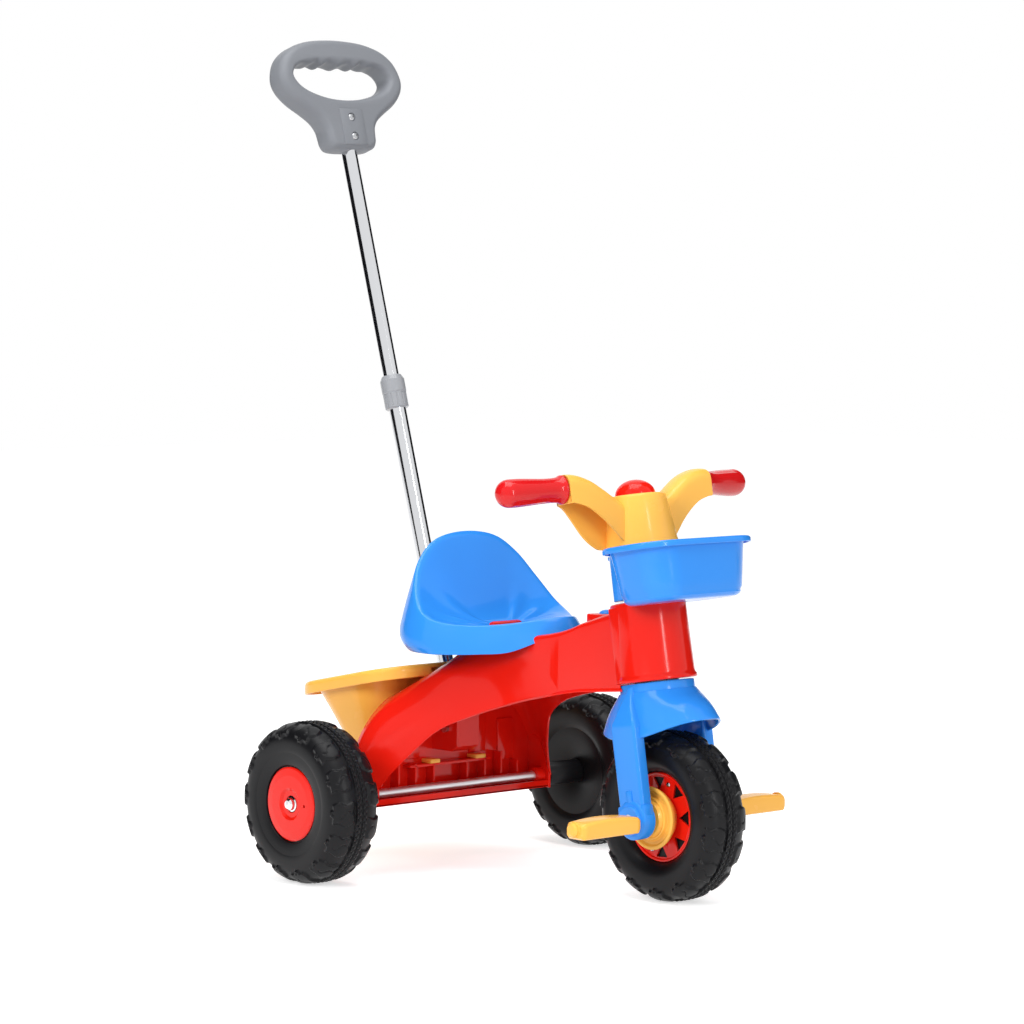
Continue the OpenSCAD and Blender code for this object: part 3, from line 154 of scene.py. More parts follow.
# Body
# One glossy red injection moulding: a hollow spine from the steering head to the seat, two
# wings that sweep down to the axle housing, and a ribbed wall behind the arch.
def moulded_skin():
    """Tint drift, uneven gloss and moulded grain, all on the piece's own coordinates."""
    group = bpy.data.node_groups.new("moulded skin", "ShaderNodeTree")
    for label, value in (("Color", (0.5, 0.5, 0.5, 1)), ("Drift", 0.06), ("Drift Scale", 9.0),
                         ("Roughness", 0.25), ("Unevenness", 0.1), ("Grain Scale", 900.0),
                         ("Flow", 0.3)):
        kind = "NodeSocketFloat" if isinstance(value, float) else "NodeSocketColor"
        group.interface.new_socket(label, in_out="INPUT", socket_type=kind).default_value = value
    for label, kind in (("Color", "NodeSocketColor"), ("Roughness", "NodeSocketFloat"),
                        ("Height", "NodeSocketFloat")):
        group.interface.new_socket(label, in_out="OUTPUT", socket_type=kind)
    given = add_node(group, "NodeGroupInput").outputs
    place = add_node(group, "ShaderNodeTexCoord").outputs["Object"]

    def noise(scale, detail):
        return add_node(group, "ShaderNodeTexNoise",
                        {"Vector": place, "Scale": scale, "Detail": detail}).outputs["Fac"]

    def about_zero(value):
        return add_node(group, "ShaderNodeMath", {0: value, 1: 0.5},
                        operation="SUBTRACT").outputs[0]

    def sum_of(a, b, factor):
        return add_node(group, "ShaderNodeMath", {0: a, 1: factor, 2: b},
                        operation="MULTIPLY_ADD").outputs[0]

    tint = add_node(group, "ShaderNodeHueSaturation", {
        "Value": sum_of(about_zero(noise(given["Drift Scale"], 3.0)), 1.0, given["Drift"]),
        "Color": given["Color"]})
    add_node(group, "NodeGroupOutput", {
        "Color": tint.outputs["Color"],
        "Roughness": sum_of(about_zero(noise(38.0, 4.0)), given["Roughness"],
                            given["Unevenness"]),
        "Height": sum_of(noise(55.0, 1.0), noise(given["Grain Scale"], 2.0), given["Flow"])})
    return group


skin_group = moulded_skin()


def plastic(name, color, roughness=0.2, coat=0.3, drift=0.08, grain=0.03, scale=900.0):
    """Moulded plastic of one colour. grain is the strength of its surface relief."""
    finish, tree, shader = new_material(name)
    skin = add_node(tree, "ShaderNodeGroup", node_tree=skin_group)
    feed(tree, skin, {"Color": (*color, 1), "Drift": drift, "Roughness": roughness,
                      "Unevenness": 0.12, "Grain Scale": scale})
    bumps = add_node(tree, "ShaderNodeBump", {"Strength": grain, "Distance": 0.0004,
                                              "Height": skin.outputs["Height"]})
    feed(tree, shader, {
        "Base Color": skin.outputs["Color"], "Roughness": skin.outputs["Roughness"],
        "Normal": bumps.outputs["Normal"], "Coat Weight": coat, "Coat Roughness": 0.06,
        "Specular IOR Level": 0.18})
    return finish


def curve(points, steps):
    """Points on a smooth curve through the given ones, with steps between neighbours."""
    points = [Vector(p) for p in points]
    line = []
    for i in range(len(points) - 1):
        a, b = points[max(i - 1, 0)], points[i]
        c, d = points[i + 1], points[min(i + 2, len(points) - 1)]
        for k in range(steps):
            t = k / steps
            line.append(0.5 * (2 * b + (c - a) * t + (2 * a - 5 * b + 4 * c - d) * t * t
                               + (3 * b - a - 3 * c + d) * t ** 3))
    return line + [points[-1]]


def loft(rings, ends=True):
    """Closed skin through a row of rings with equal numbers of points."""
    n, m = len(rings[0]), len(rings)
    points = [tuple(p) for ring in rings for p in ring]
    faces = [(i * n + j, i * n + (j + 1) % n, (i + 1) * n + (j + 1) % n, (i + 1) * n + j)
             for i in range(m - 1) for j in range(n)]
    if ends:
        faces += [tuple(range(n)), tuple((m - 1) * n + j for j in range(n))]
    return points, faces


def tube_of_rings(rings):
    """Skin through rings that come back to the first one, as on a bowl with a hole."""
    points, faces = loft(rings, False)
    n, m = len(rings[0]), len(rings)
    faces += [((m - 1) * n + j, (m - 1) * n + (j + 1) % n, (j + 1) % n, j) for j in range(n)]
    return points, faces


def turned(profile, steps=96):
    """A closed profile of [radius, height] points turned about the Z axis."""
    rings = [[(r * math.cos(a), r * math.sin(a), z) for r, z in profile]
             for a in (2 * math.pi * k / steps for k in range(steps))]
    return tube_of_rings(rings)


def block(low, high, edge=0.8):
    """Moulded block between two corners, with rounded edges."""
    shape = bmesh.new()
    bmesh.ops.create_cube(shape, size=1)
    for v in shape.verts:
        v.co = Vector([low[k] if v.co[k] < 0 else high[k] for k in range(3)])
    bmesh.ops.bevel(shape, geom=shape.edges[:], offset=edge, segments=2, profile=0.5,
                    affect="EDGES", clamp_overlap=True)
    points = [tuple(v.co) for v in shape.verts]
    faces = [tuple(v.index for v in f.verts) for f in shape.faces]
    shape.free()
    return points, faces


def spin(degrees, axis):
    """A turn about one of the axes."""
    return Matrix.Rotation(math.radians(degrees), 4, axis)


def placed(shape, matrix):
    """A shape's points moved by a matrix."""
    return [tuple(matrix @ Vector(p)) for p in shape[0]], shape[1]


def piece(name, shapes, place, finish, crease=35):
    """Joins shapes drawn in millimetres into one mesh in the trike's place, faces outward."""
    build = bmesh.new()
    for points, faces in shapes:
        verts = [build.verts.new(place @ Vector(p)) for p in points]
        for face in faces:
            corners = [verts[i] for i in face]
            if build.faces.get(corners) is None:
                build.faces.new(corners)
    bmesh.ops.remove_doubles(build, verts=build.verts, dist=2e-6)
    bmesh.ops.dissolve_degenerate(build, edges=build.edges, dist=1e-6)
    bmesh.ops.recalc_face_normals(build, faces=build.faces)
    mesh = bpy.data.meshes.new(name)
    build.to_mesh(mesh)
    build.free()
    mesh.shade_smooth()
    mesh.set_sharp_from_angle(angle=math.radians(crease))
    mesh.materials.append(finish)
    return shown(name, mesh)


def belongs(made, body, slot, *nodes):
    """Puts a finished piece on its body and hides the CAD nodes that it stands for."""
    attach(made, body)
    if nodes:
        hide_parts(*nodes)
    return made


red = plastic("glossy red", (0.80, 0.012, 0.005), 0.16, 0.16)
# The rear axle's place, the front wheel's centre ahead of it, and the steering's rake
axle_y, rear_axle_z, front_axle_z, wheelbase = 0.098652, 0.0855, 0.0875, 0.336
rake = 9.6
millimetres = Matrix.Scale(0.001, 4)
at_axle = Matrix.Translation((0, axle_y, 0)) @ millimetres
at_front_wheel = Matrix.Translation((0, axle_y - wheelbase, front_axle_z)) @ millimetres
at_steering = at_front_wheel @ spin(-rake, "X")

spine_half, body_wall = 36, 3
# Each wing's lines as [y, z] at stations from the spine out to the housing
wing_stations = (35.8, 36.15, 37, 39.5, 45, 60, 80, 100, 115, 127.4)
arch_edge, ridge, rear_edge, slope_foot = (
    [(x, *p) for x, p in zip(wing_stations, line)] for line in (
        [(-214, 208), (-200, 205), (-181, 201), (-158, 196), (-130, 188), (-96, 175.5),
         (-64, 159), (-39, 131), (-24, 109), (-14, 88)],
        [(-180, 238), (-166, 235), (-151, 231.5), (-130, 225), (-106, 217), (-73, 206),
         (-46, 187), (-25, 161), (-10, 142), (0, 121)],
        [(-108, 248), (-100, 247), (-92, 245), (-80, 241), (-66, 234), (-44, 218), (-19, 197),
         (-1, 176), (8, 155), (15, 129)],
        [(23, 197.2), (23, 197), (23, 196.6), (23, 196), (23, 195), (23, 190), (23, 182),
         (23, 166), (23, 147), (23, 121)]))


def offset_line(line, distance):
    """A [y, z] line moved to its right by a distance."""
    moved = []
    for i, p in enumerate(line):
        t = line[min(i + 1, len(line) - 1)] - line[max(i - 1, 0)]
        moved.append(p + distance * Vector((t.y, -t.x)) / max(t.length, 1e-6))
    return moved


def wing(side):
    """Swept wing with a flange along the arch and a rounded rear edge."""
    lines = [curve(edge, 5) for edge in (arch_edge, ridge, rear_edge, slope_foot)]
    rings = []
    for e, u, r, f in zip(*lines):
        outer = curve([p.yz for p in (e, u, r, f)], 8)
        inner = offset_line(outer, body_wall)
        tip = (outer[0] - outer[1]).normalized()
        across = (inner[0] - outer[0]).normalized()
        rim = [outer[0] - across * 0.9 + tip * 0.2, outer[0] - across * 1.0 + tip * 1.6,
               outer[0] + across * 0.4 + tip * 2.2, inner[0] - across * 0.6 + tip * 2.0,
               inner[0] + tip * 1.2]
        # Beside the spine the skin lies flat against it, so there its wall is measured sideways
        inward = body_wall * max(0, min(1, (60 - e.x) / 23))
        ring = [(p, 0) for p in outer] + [(p, 1) for p in inner[::-1]]
        ring += [(p, share) for p, share in zip(rim[::-1], (1, 0.8, 0.4, 0, 0))]
        rings.append([(side * (e.x - inward * share), p.x, p.y) for p, share in ring])
    return loft(rings)


# The spine's roof and lower edge as [y, z]
spine_top = curve([(-272, 292.5), (-252, 286), (-216, 272), (-180, 264), (-120, 256), (-84, 251),
                   (-62, 243), (-44, 234), (-24, 223), (0, 211), (22, 200)], 4)
spine_bottom = curve([(-272, 214), (-216, 205), (-180, 198), (-168, 199.5), (-150, 211),
                      (-132, 220), (-104, 231), (-80, 236), (-62, 233), (-40, 222), (-16, 209),
                      (8, 197), (22, 190)], 4)


def height_at(line, y):
    """Height of a [y, z] line at one y, held at its ends."""
    for a, b in zip(line, line[1:]):
        if a.x <= y <= b.x:
            return a.y + (b.y - a.y) * (y - a.x) / (b.x - a.x)
    return line[0].y if y < line[0].x else line[-1].y


def head_face(x, z):
    """Where the spine meets the sloping sleeve of the steering head."""
    sleeve_r, overlap = 40, 1
    return (-1000 * wheelbase + (z - 1000 * front_axle_z) * math.tan(math.radians(rake))
            + math.sqrt(sleeve_r ** 2 - x * x) - overlap)


def spine():
    """Channel open underneath, with rounded shoulders and a bead along its lower edge."""
    rings = []
    front, length, steps = -272, 294, 48
    for y in [None] + [front + length * k / steps for k in range(6, steps + 1)]:
        at = front if y is None else y
        top, low = height_at(spine_top, at), height_at(spine_bottom, at)
        corner = [(spine_half - 5 + 5 * math.cos(a), top - 5 + 5 * math.sin(a))
                  for a in (math.radians(15 * k) for k in range(7))]
        bead = min(1, max(0, (-188 - at) / 16))
        half = [(spine_half + 1.2 * bead, low), (spine_half + 1.4 * bead, low + 1.4),
                (spine_half + 0.9 * bead, low + 2.6), (spine_half, low + 3.4)] + corner
        inside = [(spine_half - body_wall, low), (spine_half - body_wall, top - 8),
                  (spine_half - 8, top - body_wall)]
        outline = (half + [(-x, z) for x, z in half[::-1]]
                   + [(-x, z) for x, z in inside] + inside[::-1])
        rings.append([(x, head_face(x, z) if y is None else y, z) for x, z in outline])
    return loft(rings)


def shrink(outline, amount):
    """A flat outline of [u, v] points drawn in by an amount, whichever way it runs."""
    points = [Vector(p) for p in outline]
    n = len(points)
    turn = sum(points[i - 1].cross(points[i]) for i in range(n))
    ring = []
    for i in range(n):
        t = points[(i + 1) % n] - points[i - 1]
        side = math.copysign(amount, turn) * Vector((-t.y, t.x))
        ring.append(points[i] + side / max(t.length, 1e-6))
    return ring


def plate(outline, low, high, edge=0.6):
    """Flat plate between two levels with softened edges, as [u, v, level] points."""
    rings = [(edge, low), (0, low + edge), (0, high - edge), (edge, high)]
    return loft([[(p[0], p[1], z) for p in shrink(outline, d)] for d, z in rings])


def turned_to(shape, order):
    """Swaps a shape's axes: order (2, 0, 1) makes plan points into an upright plate."""
    return [tuple(p[k] for k in order) for p in shape[0]], shape[1]


def rear_wall():
    """Upright wall between the wings, with its pilasters, shelf and ribs."""
    half = [(p.x, p.z - 1.2) for p in curve(slope_foot, 4)] + [(126.6, 73)]
    outline = [(0, 197)] + half + [(-x, z) for x, z in half[::-1]]
    shapes = [turned_to(plate(outline, 20, 23, 0.5), (0, 2, 1)),
              block((-58, 7, 107.5), (58, 20.6, 110.5))]
    for side in (-1, 1):
        for near, far, front, foot, top in ((36, 60, 17.4, 116, 176), (78, 101, 18, 104, 150)):
            low, high = sorted((side * near, side * far))
            shapes.append(block((low, front, foot), (high, 21, top), 1.2))
        for x, top in ((24, 110), (50, 112), (74, 115), (98, 104)):
            shapes.append(block((side * x - 1.5, 7, 73), (side * x + 1.5, 21, top)))
    return shapes


def housing():
    """Floor and front lip under the axle, and the end walls with their axle bosses."""
    shapes = [block((-127, -13, 73), (127, 22, 76), 0.9),
              block((-127, -13, 73), (127, -10, 81), 0.9)]
    tip = offset_line(curve([arch_edge[-1][1:], ridge[-1][1:], rear_edge[-1][1:],
                             slope_foot[-1][1:]], 8), -0.8)
    outline = [tuple(p) for p in tip] + [(22.5, 72.4), (-14, 72.4)]
    for side in (-1, 1):
        low, high = sorted((side * 125, side * 128))
        shapes.append(turned_to(plate(outline, low, high, 0.7), (2, 0, 1)))
        low, high = sorted((side * 114, side * 129))
        boss = turned([(5.05, low), (8.5, low), (8.5, high - 0.6), (7.9, high), (5.05, high)], 48)
        shapes.append(placed(turned_to(boss, (2, 0, 1)),
                             Matrix.Translation((0, 0, 1000 * rear_axle_z))))
    return shapes


def bar_socket():
    """Pillar that holds the foot of the push bar."""
    side_view = [(-22, 130), (-12, 124), (3, 124), (22, 124), (22, 198), (-6, 212), (-22, 226)]
    return turned_to(plate(side_view, -16, 16, 1.2), (2, 0, 1))


def steering_head():
    """Tapered sleeve with a rolled lip at its foot and a rounded top, bored for two bushes."""
    foot, top = 138, 220
    return turned([(20.1, foot), (41.2, foot), (42.2, foot + 0.7), (42.4, foot + 2.4),
                   (42, foot + 4.2), (40.9, foot + 5.6), (40.3, foot + 8), (39.4, foot + 50),
                   (39, top - 3), (38.6, top - 1.4), (37.4, top - 0.3), (36, top),
                   (20.1, top)], 128)


# Block that fills the seat's slot, and the raised block that carries the roof's plug
slot_block = block((-21, -87, 247), (21, -77, 270), 3.5)
plug_block = [block((-17, -252, 268), (17, -226, 288), 1.6),
              block((-25, -262, 262), (25, -236, 283), 1.8)]
seat_bosses = [placed(turned([(2.05, 244), (6, 244), (6, 252), (2.05, 252)], 32),
                      Matrix.Translation((x, -104, 0))) for x in (-22, 22)]
head_cheeks = [block((low, 2, 142), (low + 8.6, 19, 216), 1.2) for low in (-38.8, 30.2)]
to_steering = at_axle.inverted() @ at_steering
body = piece("body", [wing(1), wing(-1), spine(), bar_socket(), slot_block]
             + rear_wall() + housing() + plug_block + seat_bosses
             + [placed(shape, to_steering) for shape in [steering_head()] + head_cheeks],
             at_axle, red, 32)
belongs(body, "chassis", "body_red", "body_shell")

# Axle, bushes and plug
# A zinc-plated rod across the housing, domed push-on caps, and nylon washers and bushes where
# something turns. A blue plug closes the hole in the roof.
def metal(name, color, roughness, streak, along=(60, 60, 2)):
    """Plated or drawn metal with fine streaks along the given stretch of its coordinates."""
    finish, tree, shader = new_material(name)
    place = add_node(tree, "ShaderNodeTexCoord")
    stretch = add_node(tree, "ShaderNodeMapping",
                       {"Vector": place.outputs["Object"], "Scale": along})
    grain = add_node(tree, "ShaderNodeTexNoise",
                     {"Vector": stretch.outputs["Vector"], "Scale": 14, "Detail": 5})
    spread = add_node(tree, "ShaderNodeMapRange", {
        "Value": grain.outputs["Fac"], "To Min": roughness * 0.6, "To Max": roughness * 1.5})
    bumps = add_node(tree, "ShaderNodeBump", {"Strength": streak, "Distance": 0.0002,
                                              "Height": grain.outputs["Fac"]})
    feed(tree, shader, {
        "Metallic": 1.0, "Base Color": (*color, 1), "Roughness": spread.outputs["Result"],
        "Normal": bumps.outputs["Normal"]})
    return finish


def wear(finish, *names):
    """Gives CAD nodes that keep their shape a finish."""
    for name in names:
        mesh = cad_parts[name].data
        mesh.materials.clear()
        mesh.materials.append(finish)


zinc = metal("zinc plate", (0.52, 0.53, 0.55), 0.22, 0.04, (2, 60, 60))
chrome = metal("bright plate", (0.82, 0.83, 0.85), 0.12, 0.02)
nylon = plastic("white nylon", (0.8, 0.8, 0.78), 0.35, 0.0)
blue = plastic("glossy blue", (0.03, 0.27, 0.84), 0.2, 0.22)
drawn = metal("drawn steel", (0.78, 0.79, 0.81), 0.42, 0.04, (2, 60, 60))
wear(drawn, "rear_axle")
wear(zinc, "seat_screws", "socket_screw", "handle_screws")
wear(chrome, "axle_caps")
wear(nylon, "axle_washers", "head_bushes")
wear(blue, "spine_plug")

# Seat
# A blue moulded bucket seat: a deep dish under a high back, a flat rim and a tapered skirt that
# stands on the spine. A slot through the floor of the dish fits over a block on the body.
def loop(points, steps):
    """The same through a closed ring of points."""
    points = [Vector(p) for p in points]
    n = len(points)
    return [p for i in range(n)
            for p in curve([points[i - 1], points[i], points[(i + 1) % n],
                            points[(i + 2) % n]], steps)[steps:2 * steps]]


def mirrored(points):
    """A right half outline and its mirror image, as one ring."""
    return list(points) + [(-p[0], *p[1:]) for p in points[-2:0:-1]]


rim_line = [(0, -14, 363), (42, -16, 357), (70, -22, 338), (88, -34, 312), (98, -52, 288),
            (98, -70, 277), (87, -92, 272), (66, -117, 271), (43, -145, 274), (22, -168, 279),
            (0, -180, 281)]
skirt_line = [(0, 9, 240), (50, 8, 240), (84, -1, 240), (99, -18, 240), (107, -40, 240),
              (105, -64, 240), (93, -90, 240), (73, -118, 241), (52, -146, 244),
              (28, -176, 258), (0, -188, 262)]
seat_wall, dish_y, dish_z = 2.6, -84, 267
rim_ring, skirt_ring = loop(mirrored(rim_line), 8), loop(mirrored(skirt_line), 8)


def skirt(t, inward=0.0):
    """Ring at a share t of the way from the skirt's foot to the rim."""
    ring = []
    for foot, top in zip(skirt_ring, rim_ring):
        p = foot.lerp(top, t)
        v = Vector((p.x, p.y - dish_y))
        corner = max(0, 1 - ((abs(math.atan2(v.x, v.y)) - 0.75) / 0.75) ** 2)
        tuck = 15 * corner * max(0, 1 - t / 0.3) ** 2
        v *= (v.length - inward - tuck + 1.2 * math.sin(math.pi * min(max(t, 0), 1))) / v.length
        ring.append(Vector((v.x, dish_y + v.y, p.z)))
    return ring


def slot_edge(p):
    """The slot's outline in the direction of a rim point."""
    v = Vector((p.x, p.y - dish_y)).normalized()
    straight, end_r = 17.5, 7
    if abs(v.y) * straight >= abs(v.x) * end_r:
        reach = end_r / abs(v.y)
    else:
        along = straight * abs(v.x)
        reach = along + math.sqrt(max(end_r ** 2 - (straight * v.y) ** 2, 0))
    return Vector((v.x * reach, dish_y + v.y * reach))


# Moulded folds in the dish: height, angle from the middle of the back, and spread
creases = [(2.8, 0.95, 0.12), (3.8, 1.25, 0.1), (2.8, 1.52, 0.08)]


def dish(t, under=0.0):
    """Ring at a share t of the way from the rim's inner edge down to the slot."""
    ring = []
    for p in skirt(1, 5):
        edge = slot_edge(p)
        reach = 1 - t
        q = Vector((edge.x + (p.x - edge.x) * reach, edge.y + (p.y - edge.y) * reach, 0))
        angle = math.atan2(p.x, p.y - dish_y)
        crease = sum(height * math.exp(-((abs(angle) - at) / spread) ** 2)
                     for height, at, spread in creases) * math.sin(math.pi * reach ** 0.8) ** 2
        q.z = dish_z + (p.z - dish_z) * reach ** 2.1 + crease - under
        ring.append(q)
    return ring


shares = [0.03, 0.07, 0.11, 0.16, 0.21, 0.27, 0.33, 0.39, 0.45, 0.52, 0.59, 0.66, 0.74, 0.82,
          0.9, 0.96]
seat = piece("seat", [tube_of_rings(
    [dish(1, 2.6)] + [dish(t, 3.4 + 2 * (1 - t) ** 2) for t in shares[::-2]]
    + [skirt(t, seat_wall) for t in (0.88, 0.6, 0.3, 0.02)] + [skirt(0, 2), skirt(-0.006, 1.2)]
    + [skirt(0, 0.2)] + [skirt(t) for t in (0.01, 0.03, 0.08, 0.14, 0.2, 0.3, 0.45, 0.6, 0.8, 0.93)]
    + [skirt(0.965, 0.1), skirt(0.985, 0.5), skirt(0.996, 1.1), skirt(1, 2), skirt(1, 3.4),
       skirt(0.998, 4.6)]
    + [dish(t) for t in shares] + [dish(0.985, 0.1), dish(1, 0.8)])], at_axle, blue, 60)
belongs(seat, "chassis", "blue_plastic", "seat")

# Bucket
# A yellow sand bucket with a thick rolled rim that slopes to the rear. Two tabs reach through
# the body's rear wall, and the push bar passes through its front ledge.
yellow = plastic("warm yellow", (1.0, 0.51, 0.085), 0.26, 0.16)
bucket_front, ledge_z, rim_slope = -8, 222, math.radians(11)


def rounded(half_x, half_y, radius, steps=12, shift=0.0):
    """Rounded rectangle in plan as [x, y], counter-clockwise."""
    ring = []
    for q in range(4):
        for k in range(steps + 1):
            a = math.radians(90 * q + 90 * k / steps)
            x = (half_x - radius) * (1 if q in (0, 3) else -1) + radius * math.cos(a)
            y = (half_y - radius) * (1 if q < 2 else -1) + radius * math.sin(a)
            ring.append(Vector((x, y + shift)))
    return ring


def bowed(ring, bulge, half_x, half_y, shift):
    """Lets the straight sides of a rounded rectangle swell a little."""
    return [Vector((p.x * (1 + bulge / half_x * max(0, 1 - ((p.y - shift) / half_y) ** 2)),
                    p.y + bulge * math.copysign(1, p.y - shift) * max(0, 1 - (p.x / half_x) ** 2)
                    * min(1, abs(p.y - shift) / half_y * 1.6)))
            for p in ring]


def tray(foot, brim, lip, level, floor_z, wall, band, fillet):
    """Tray with a rounded foot and a rolled rim; level gives the rim's height at each point."""
    def flat(ring, z):
        return [(p.x, p.y, z) for p in ring]

    def wall_ring(t, inward, raise_by=0.0):
        ring = shrink([f.lerp(b, t) for f, b in zip(foot, brim)], inward)
        return [(p.x, p.y, floor_z + (level(p) - floor_z) * t + raise_by) for p in ring]

    def rim_ring_at(ring, inward, drop):
        return [(p.x, p.y, level(p) - drop) for p in shrink(ring, inward)]

    arc = [(math.sin(math.radians(a)), math.cos(math.radians(a))) for a in (20, 40, 60, 80)]
    rings = [flat(shrink(foot, fillet + 20), floor_z), flat(shrink(foot, fillet), floor_z)]
    rings += [flat(shrink(foot, fillet * (1 - s) - 0.6 * s), floor_z + fillet * (1 - c))
              for s, c in arc]
    rings += [wall_ring(t, 0) for t in (0.16, 0.35, 0.6, 0.85)]
    radius = min(4.5, band * 0.45)
    rings += [rim_ring_at(*row) for row in [
        (brim, -0.2, wall + 2.5), (brim, -2, wall), (lip, wall + 1.2, wall),
        (lip, wall, wall + 1.5), (lip, wall, band - 0.6), (lip, wall - 0.6, band),
        (lip, 0.6, band), (lip, 0, band - 0.7), (lip, 0, band * 0.66), (lip, 0, band * 0.45)]
        + [(lip, radius * (1 - c), radius * (1 - s)) for s, c in arc]
        + [(lip, radius + 1, 0), (brim, wall - 0.8, 0), (brim, wall + 0.4, 0.5),
           (brim, wall + 1.2, 2)]]
    rings += [wall_ring(t, wall + 0.6) for t in (0.9, 0.6, 0.35, 0.16)]
    rings += [flat(shrink(foot, wall + fillet * (1 - s) - 0.6 * s),
                   floor_z + wall + fillet * (1 - c)) for s, c in arc[::-1] + [(0, 1)]]
    rings.append(flat(shrink(foot, wall + fillet + 20), floor_z + wall))
    return loft(rings)


def baked(made):
    """Turns a piece's modifier into its plain mesh and takes the modifier off."""
    bpy.context.view_layer.update()
    result = bpy.data.meshes.new_from_object(
        made.evaluated_get(bpy.context.evaluated_depsgraph_get()))
    made.modifiers.clear()
    made.data = result
    return made


def cut(made, *cutters):
    """Cuts shapes out of a piece, which has to be closed, and removes the cutters."""
    for cutter in cutters:
        step = made.modifiers.new("cut", "BOOLEAN")
        step.object, step.operation, step.solver = cutter, "DIFFERENCE", "EXACT"
        baked(made)
        bpy.data.objects.remove(cutter)
    made.data.shade_smooth()
    made.data.set_sharp_from_angle(angle=math.radians(35))
    return made


def oval(a, b, z, steps=72):
    """Level ring with half widths a and b."""
    return [(a * math.cos(2 * math.pi * k / steps), b * math.sin(2 * math.pi * k / steps), z)
            for k in range(steps)]


def bucket_level(p):
    """The rim falls towards the rear."""
    return ledge_z - (p.y - bucket_front) * math.tan(rim_slope)


bar_y, bar_z, bar_lean, bar_r = 0.089652, 0.130, 16.2, 10.3
at_bar = (Matrix.Translation((0, bar_y, bar_z)) @ millimetres
          @ spin(-bar_lean, "X"))
bucket_foot = bowed(rounded(72, 34, 28, 12, 65), 2, 72, 34, 65)
bucket_brim = bowed(rounded(96, 59, 40, 12, 89), 3, 96, 59, 89)
bucket_lip = rounded(106, 83, 46, 12, 75)
bucket = piece("bucket", [tray(bucket_foot, bucket_brim, bucket_lip, bucket_level, floor_z=115,
                               wall=2.4, band=14, fillet=9)], at_axle, yellow)
notch = piece("notch", [turned_to(loft([[(y, z, x) for y, z in (
    (-30, 228), (-8, 217), (12, 208), (29, 201), (29, 150), (-30, 150))] for x in (-41, 41)]),
    (2, 0, 1))], at_axle, yellow)
bar_hole = piece("bar hole", [loft([oval(bar_r, bar_r, z, 60) for z in (20, 160)])], at_bar,
                 yellow)
cut(bucket, notch, bar_hole)
tabs = piece("bucket_tabs", [block((x - 7, 5, 110.5), (x + 7, 32, 115), 0.9)
                             for x in (-24, 42)], at_axle, yellow)
belongs(bucket, "chassis", "yellow_plastic", "rear_bucket")
belongs(tabs, "chassis", "yellow_plastic")

# Push bar
# Two chromed steel tubes that slide one in the other, a grey collar that grips them, and a grey
# moulded handle with a finger opening, held by two screws.
grey = plastic("matte grey", (0.2, 0.21, 0.23), 0.42, 0.0, 0.06, 0.15, 700.0)
smoke = plastic("smoky grey", (0.3, 0.31, 0.33), 0.22, 0.3)
tube_plate = metal("chromed tube", (0.7, 0.71, 0.73), 0.1, 0.02)
wear(tube_plate, "push_tube_lower", "push_tube_upper")
handle_top, handle_half, round_over = 799.97, 15, 10
# Half outlines as [across, drop from the top], at the middle of the thickness and on the faces
handle_line = [(0, 0), (28, 1.5), (47, 5), (65, 12), (80, 25), (87, 44), (84, 59), (72, 73),
               (54, 85), (42, 94), (36, 103), (34.4, 112), (33.4, 119.5), (29, 126), (18, 128),
               (0, 128)]
handle_face = [(0, 8), (26, 9.2), (44, 12.4), (60, 18.5), (72, 29.5), (78, 44.5), (75.5, 55.5),
               (65.5, 66.5), (49, 78), (36.5, 88), (29, 99.5), (27, 111), (26, 116.5), (22, 121),
               (13, 122.5), (0, 122.5)]
opening_line = [(0, 31), (8, 28.6), (16, 27.5), (24, 30.6), (32, 27.2), (41, 30), (52, 30),
                (63, 36), (67, 46), (55, 58), (29, 67), (0, 70)]
opening_face = [(0, 21.6), (8, 21.4), (16, 21.6), (24, 22), (32, 22.4), (42, 23.4), (56, 26.6),
                (69, 33.5), (73.5, 47), (60, 63.5), (31, 73.5), (0, 76)]


def pierced(outer, holes):
    """Solid with openings through it: rows of rings for the outside and for each opening, with
    flat faces between their first and between their last rings."""
    points, faces = [], []
    starts = []
    for rings in [outer] + holes:
        start = len(points)
        more, skin = loft(rings, False)
        points += more
        faces += [tuple(start + i for i in f) for f in skin]
        starts.append((start, rings))
    for row in (0, -1):
        outlines = [[Vector(p) for p in rings[row]] for _, rings in starts]
        index = []
        for start, rings in starts:
            n = len(rings[0])
            index += [start + (row % len(rings)) * n + j for j in range(n)]
        faces += [tuple(index[i] for i in tri) for tri in tessellate_polygon(outlines)]
    return points, faces


def handle_ring(middle, face, y, share):
    """Outline a share of the way from the middle of the thickness to a face."""
    ring = [p.lerp(q, share) for p, q in zip(loop(mirrored(middle), 5), loop(mirrored(face), 5))]
    return [(p.x, y, handle_top - p.y) for p in ring]


def handle_shell():
    """Rounded outside and opening, with flat faces between them."""
    rings, holes = [], []
    for k in range(17):
        a = math.radians(-90 + 180 * k / 16)
        y = math.copysign(handle_half - round_over, a) + round_over * math.sin(a)
        share = 1 - math.cos(a)
        rings.append(handle_ring(handle_line, handle_face, y, share))
        holes.append(handle_ring(opening_line, opening_face, y, share))
    return pierced(rings, [holes])


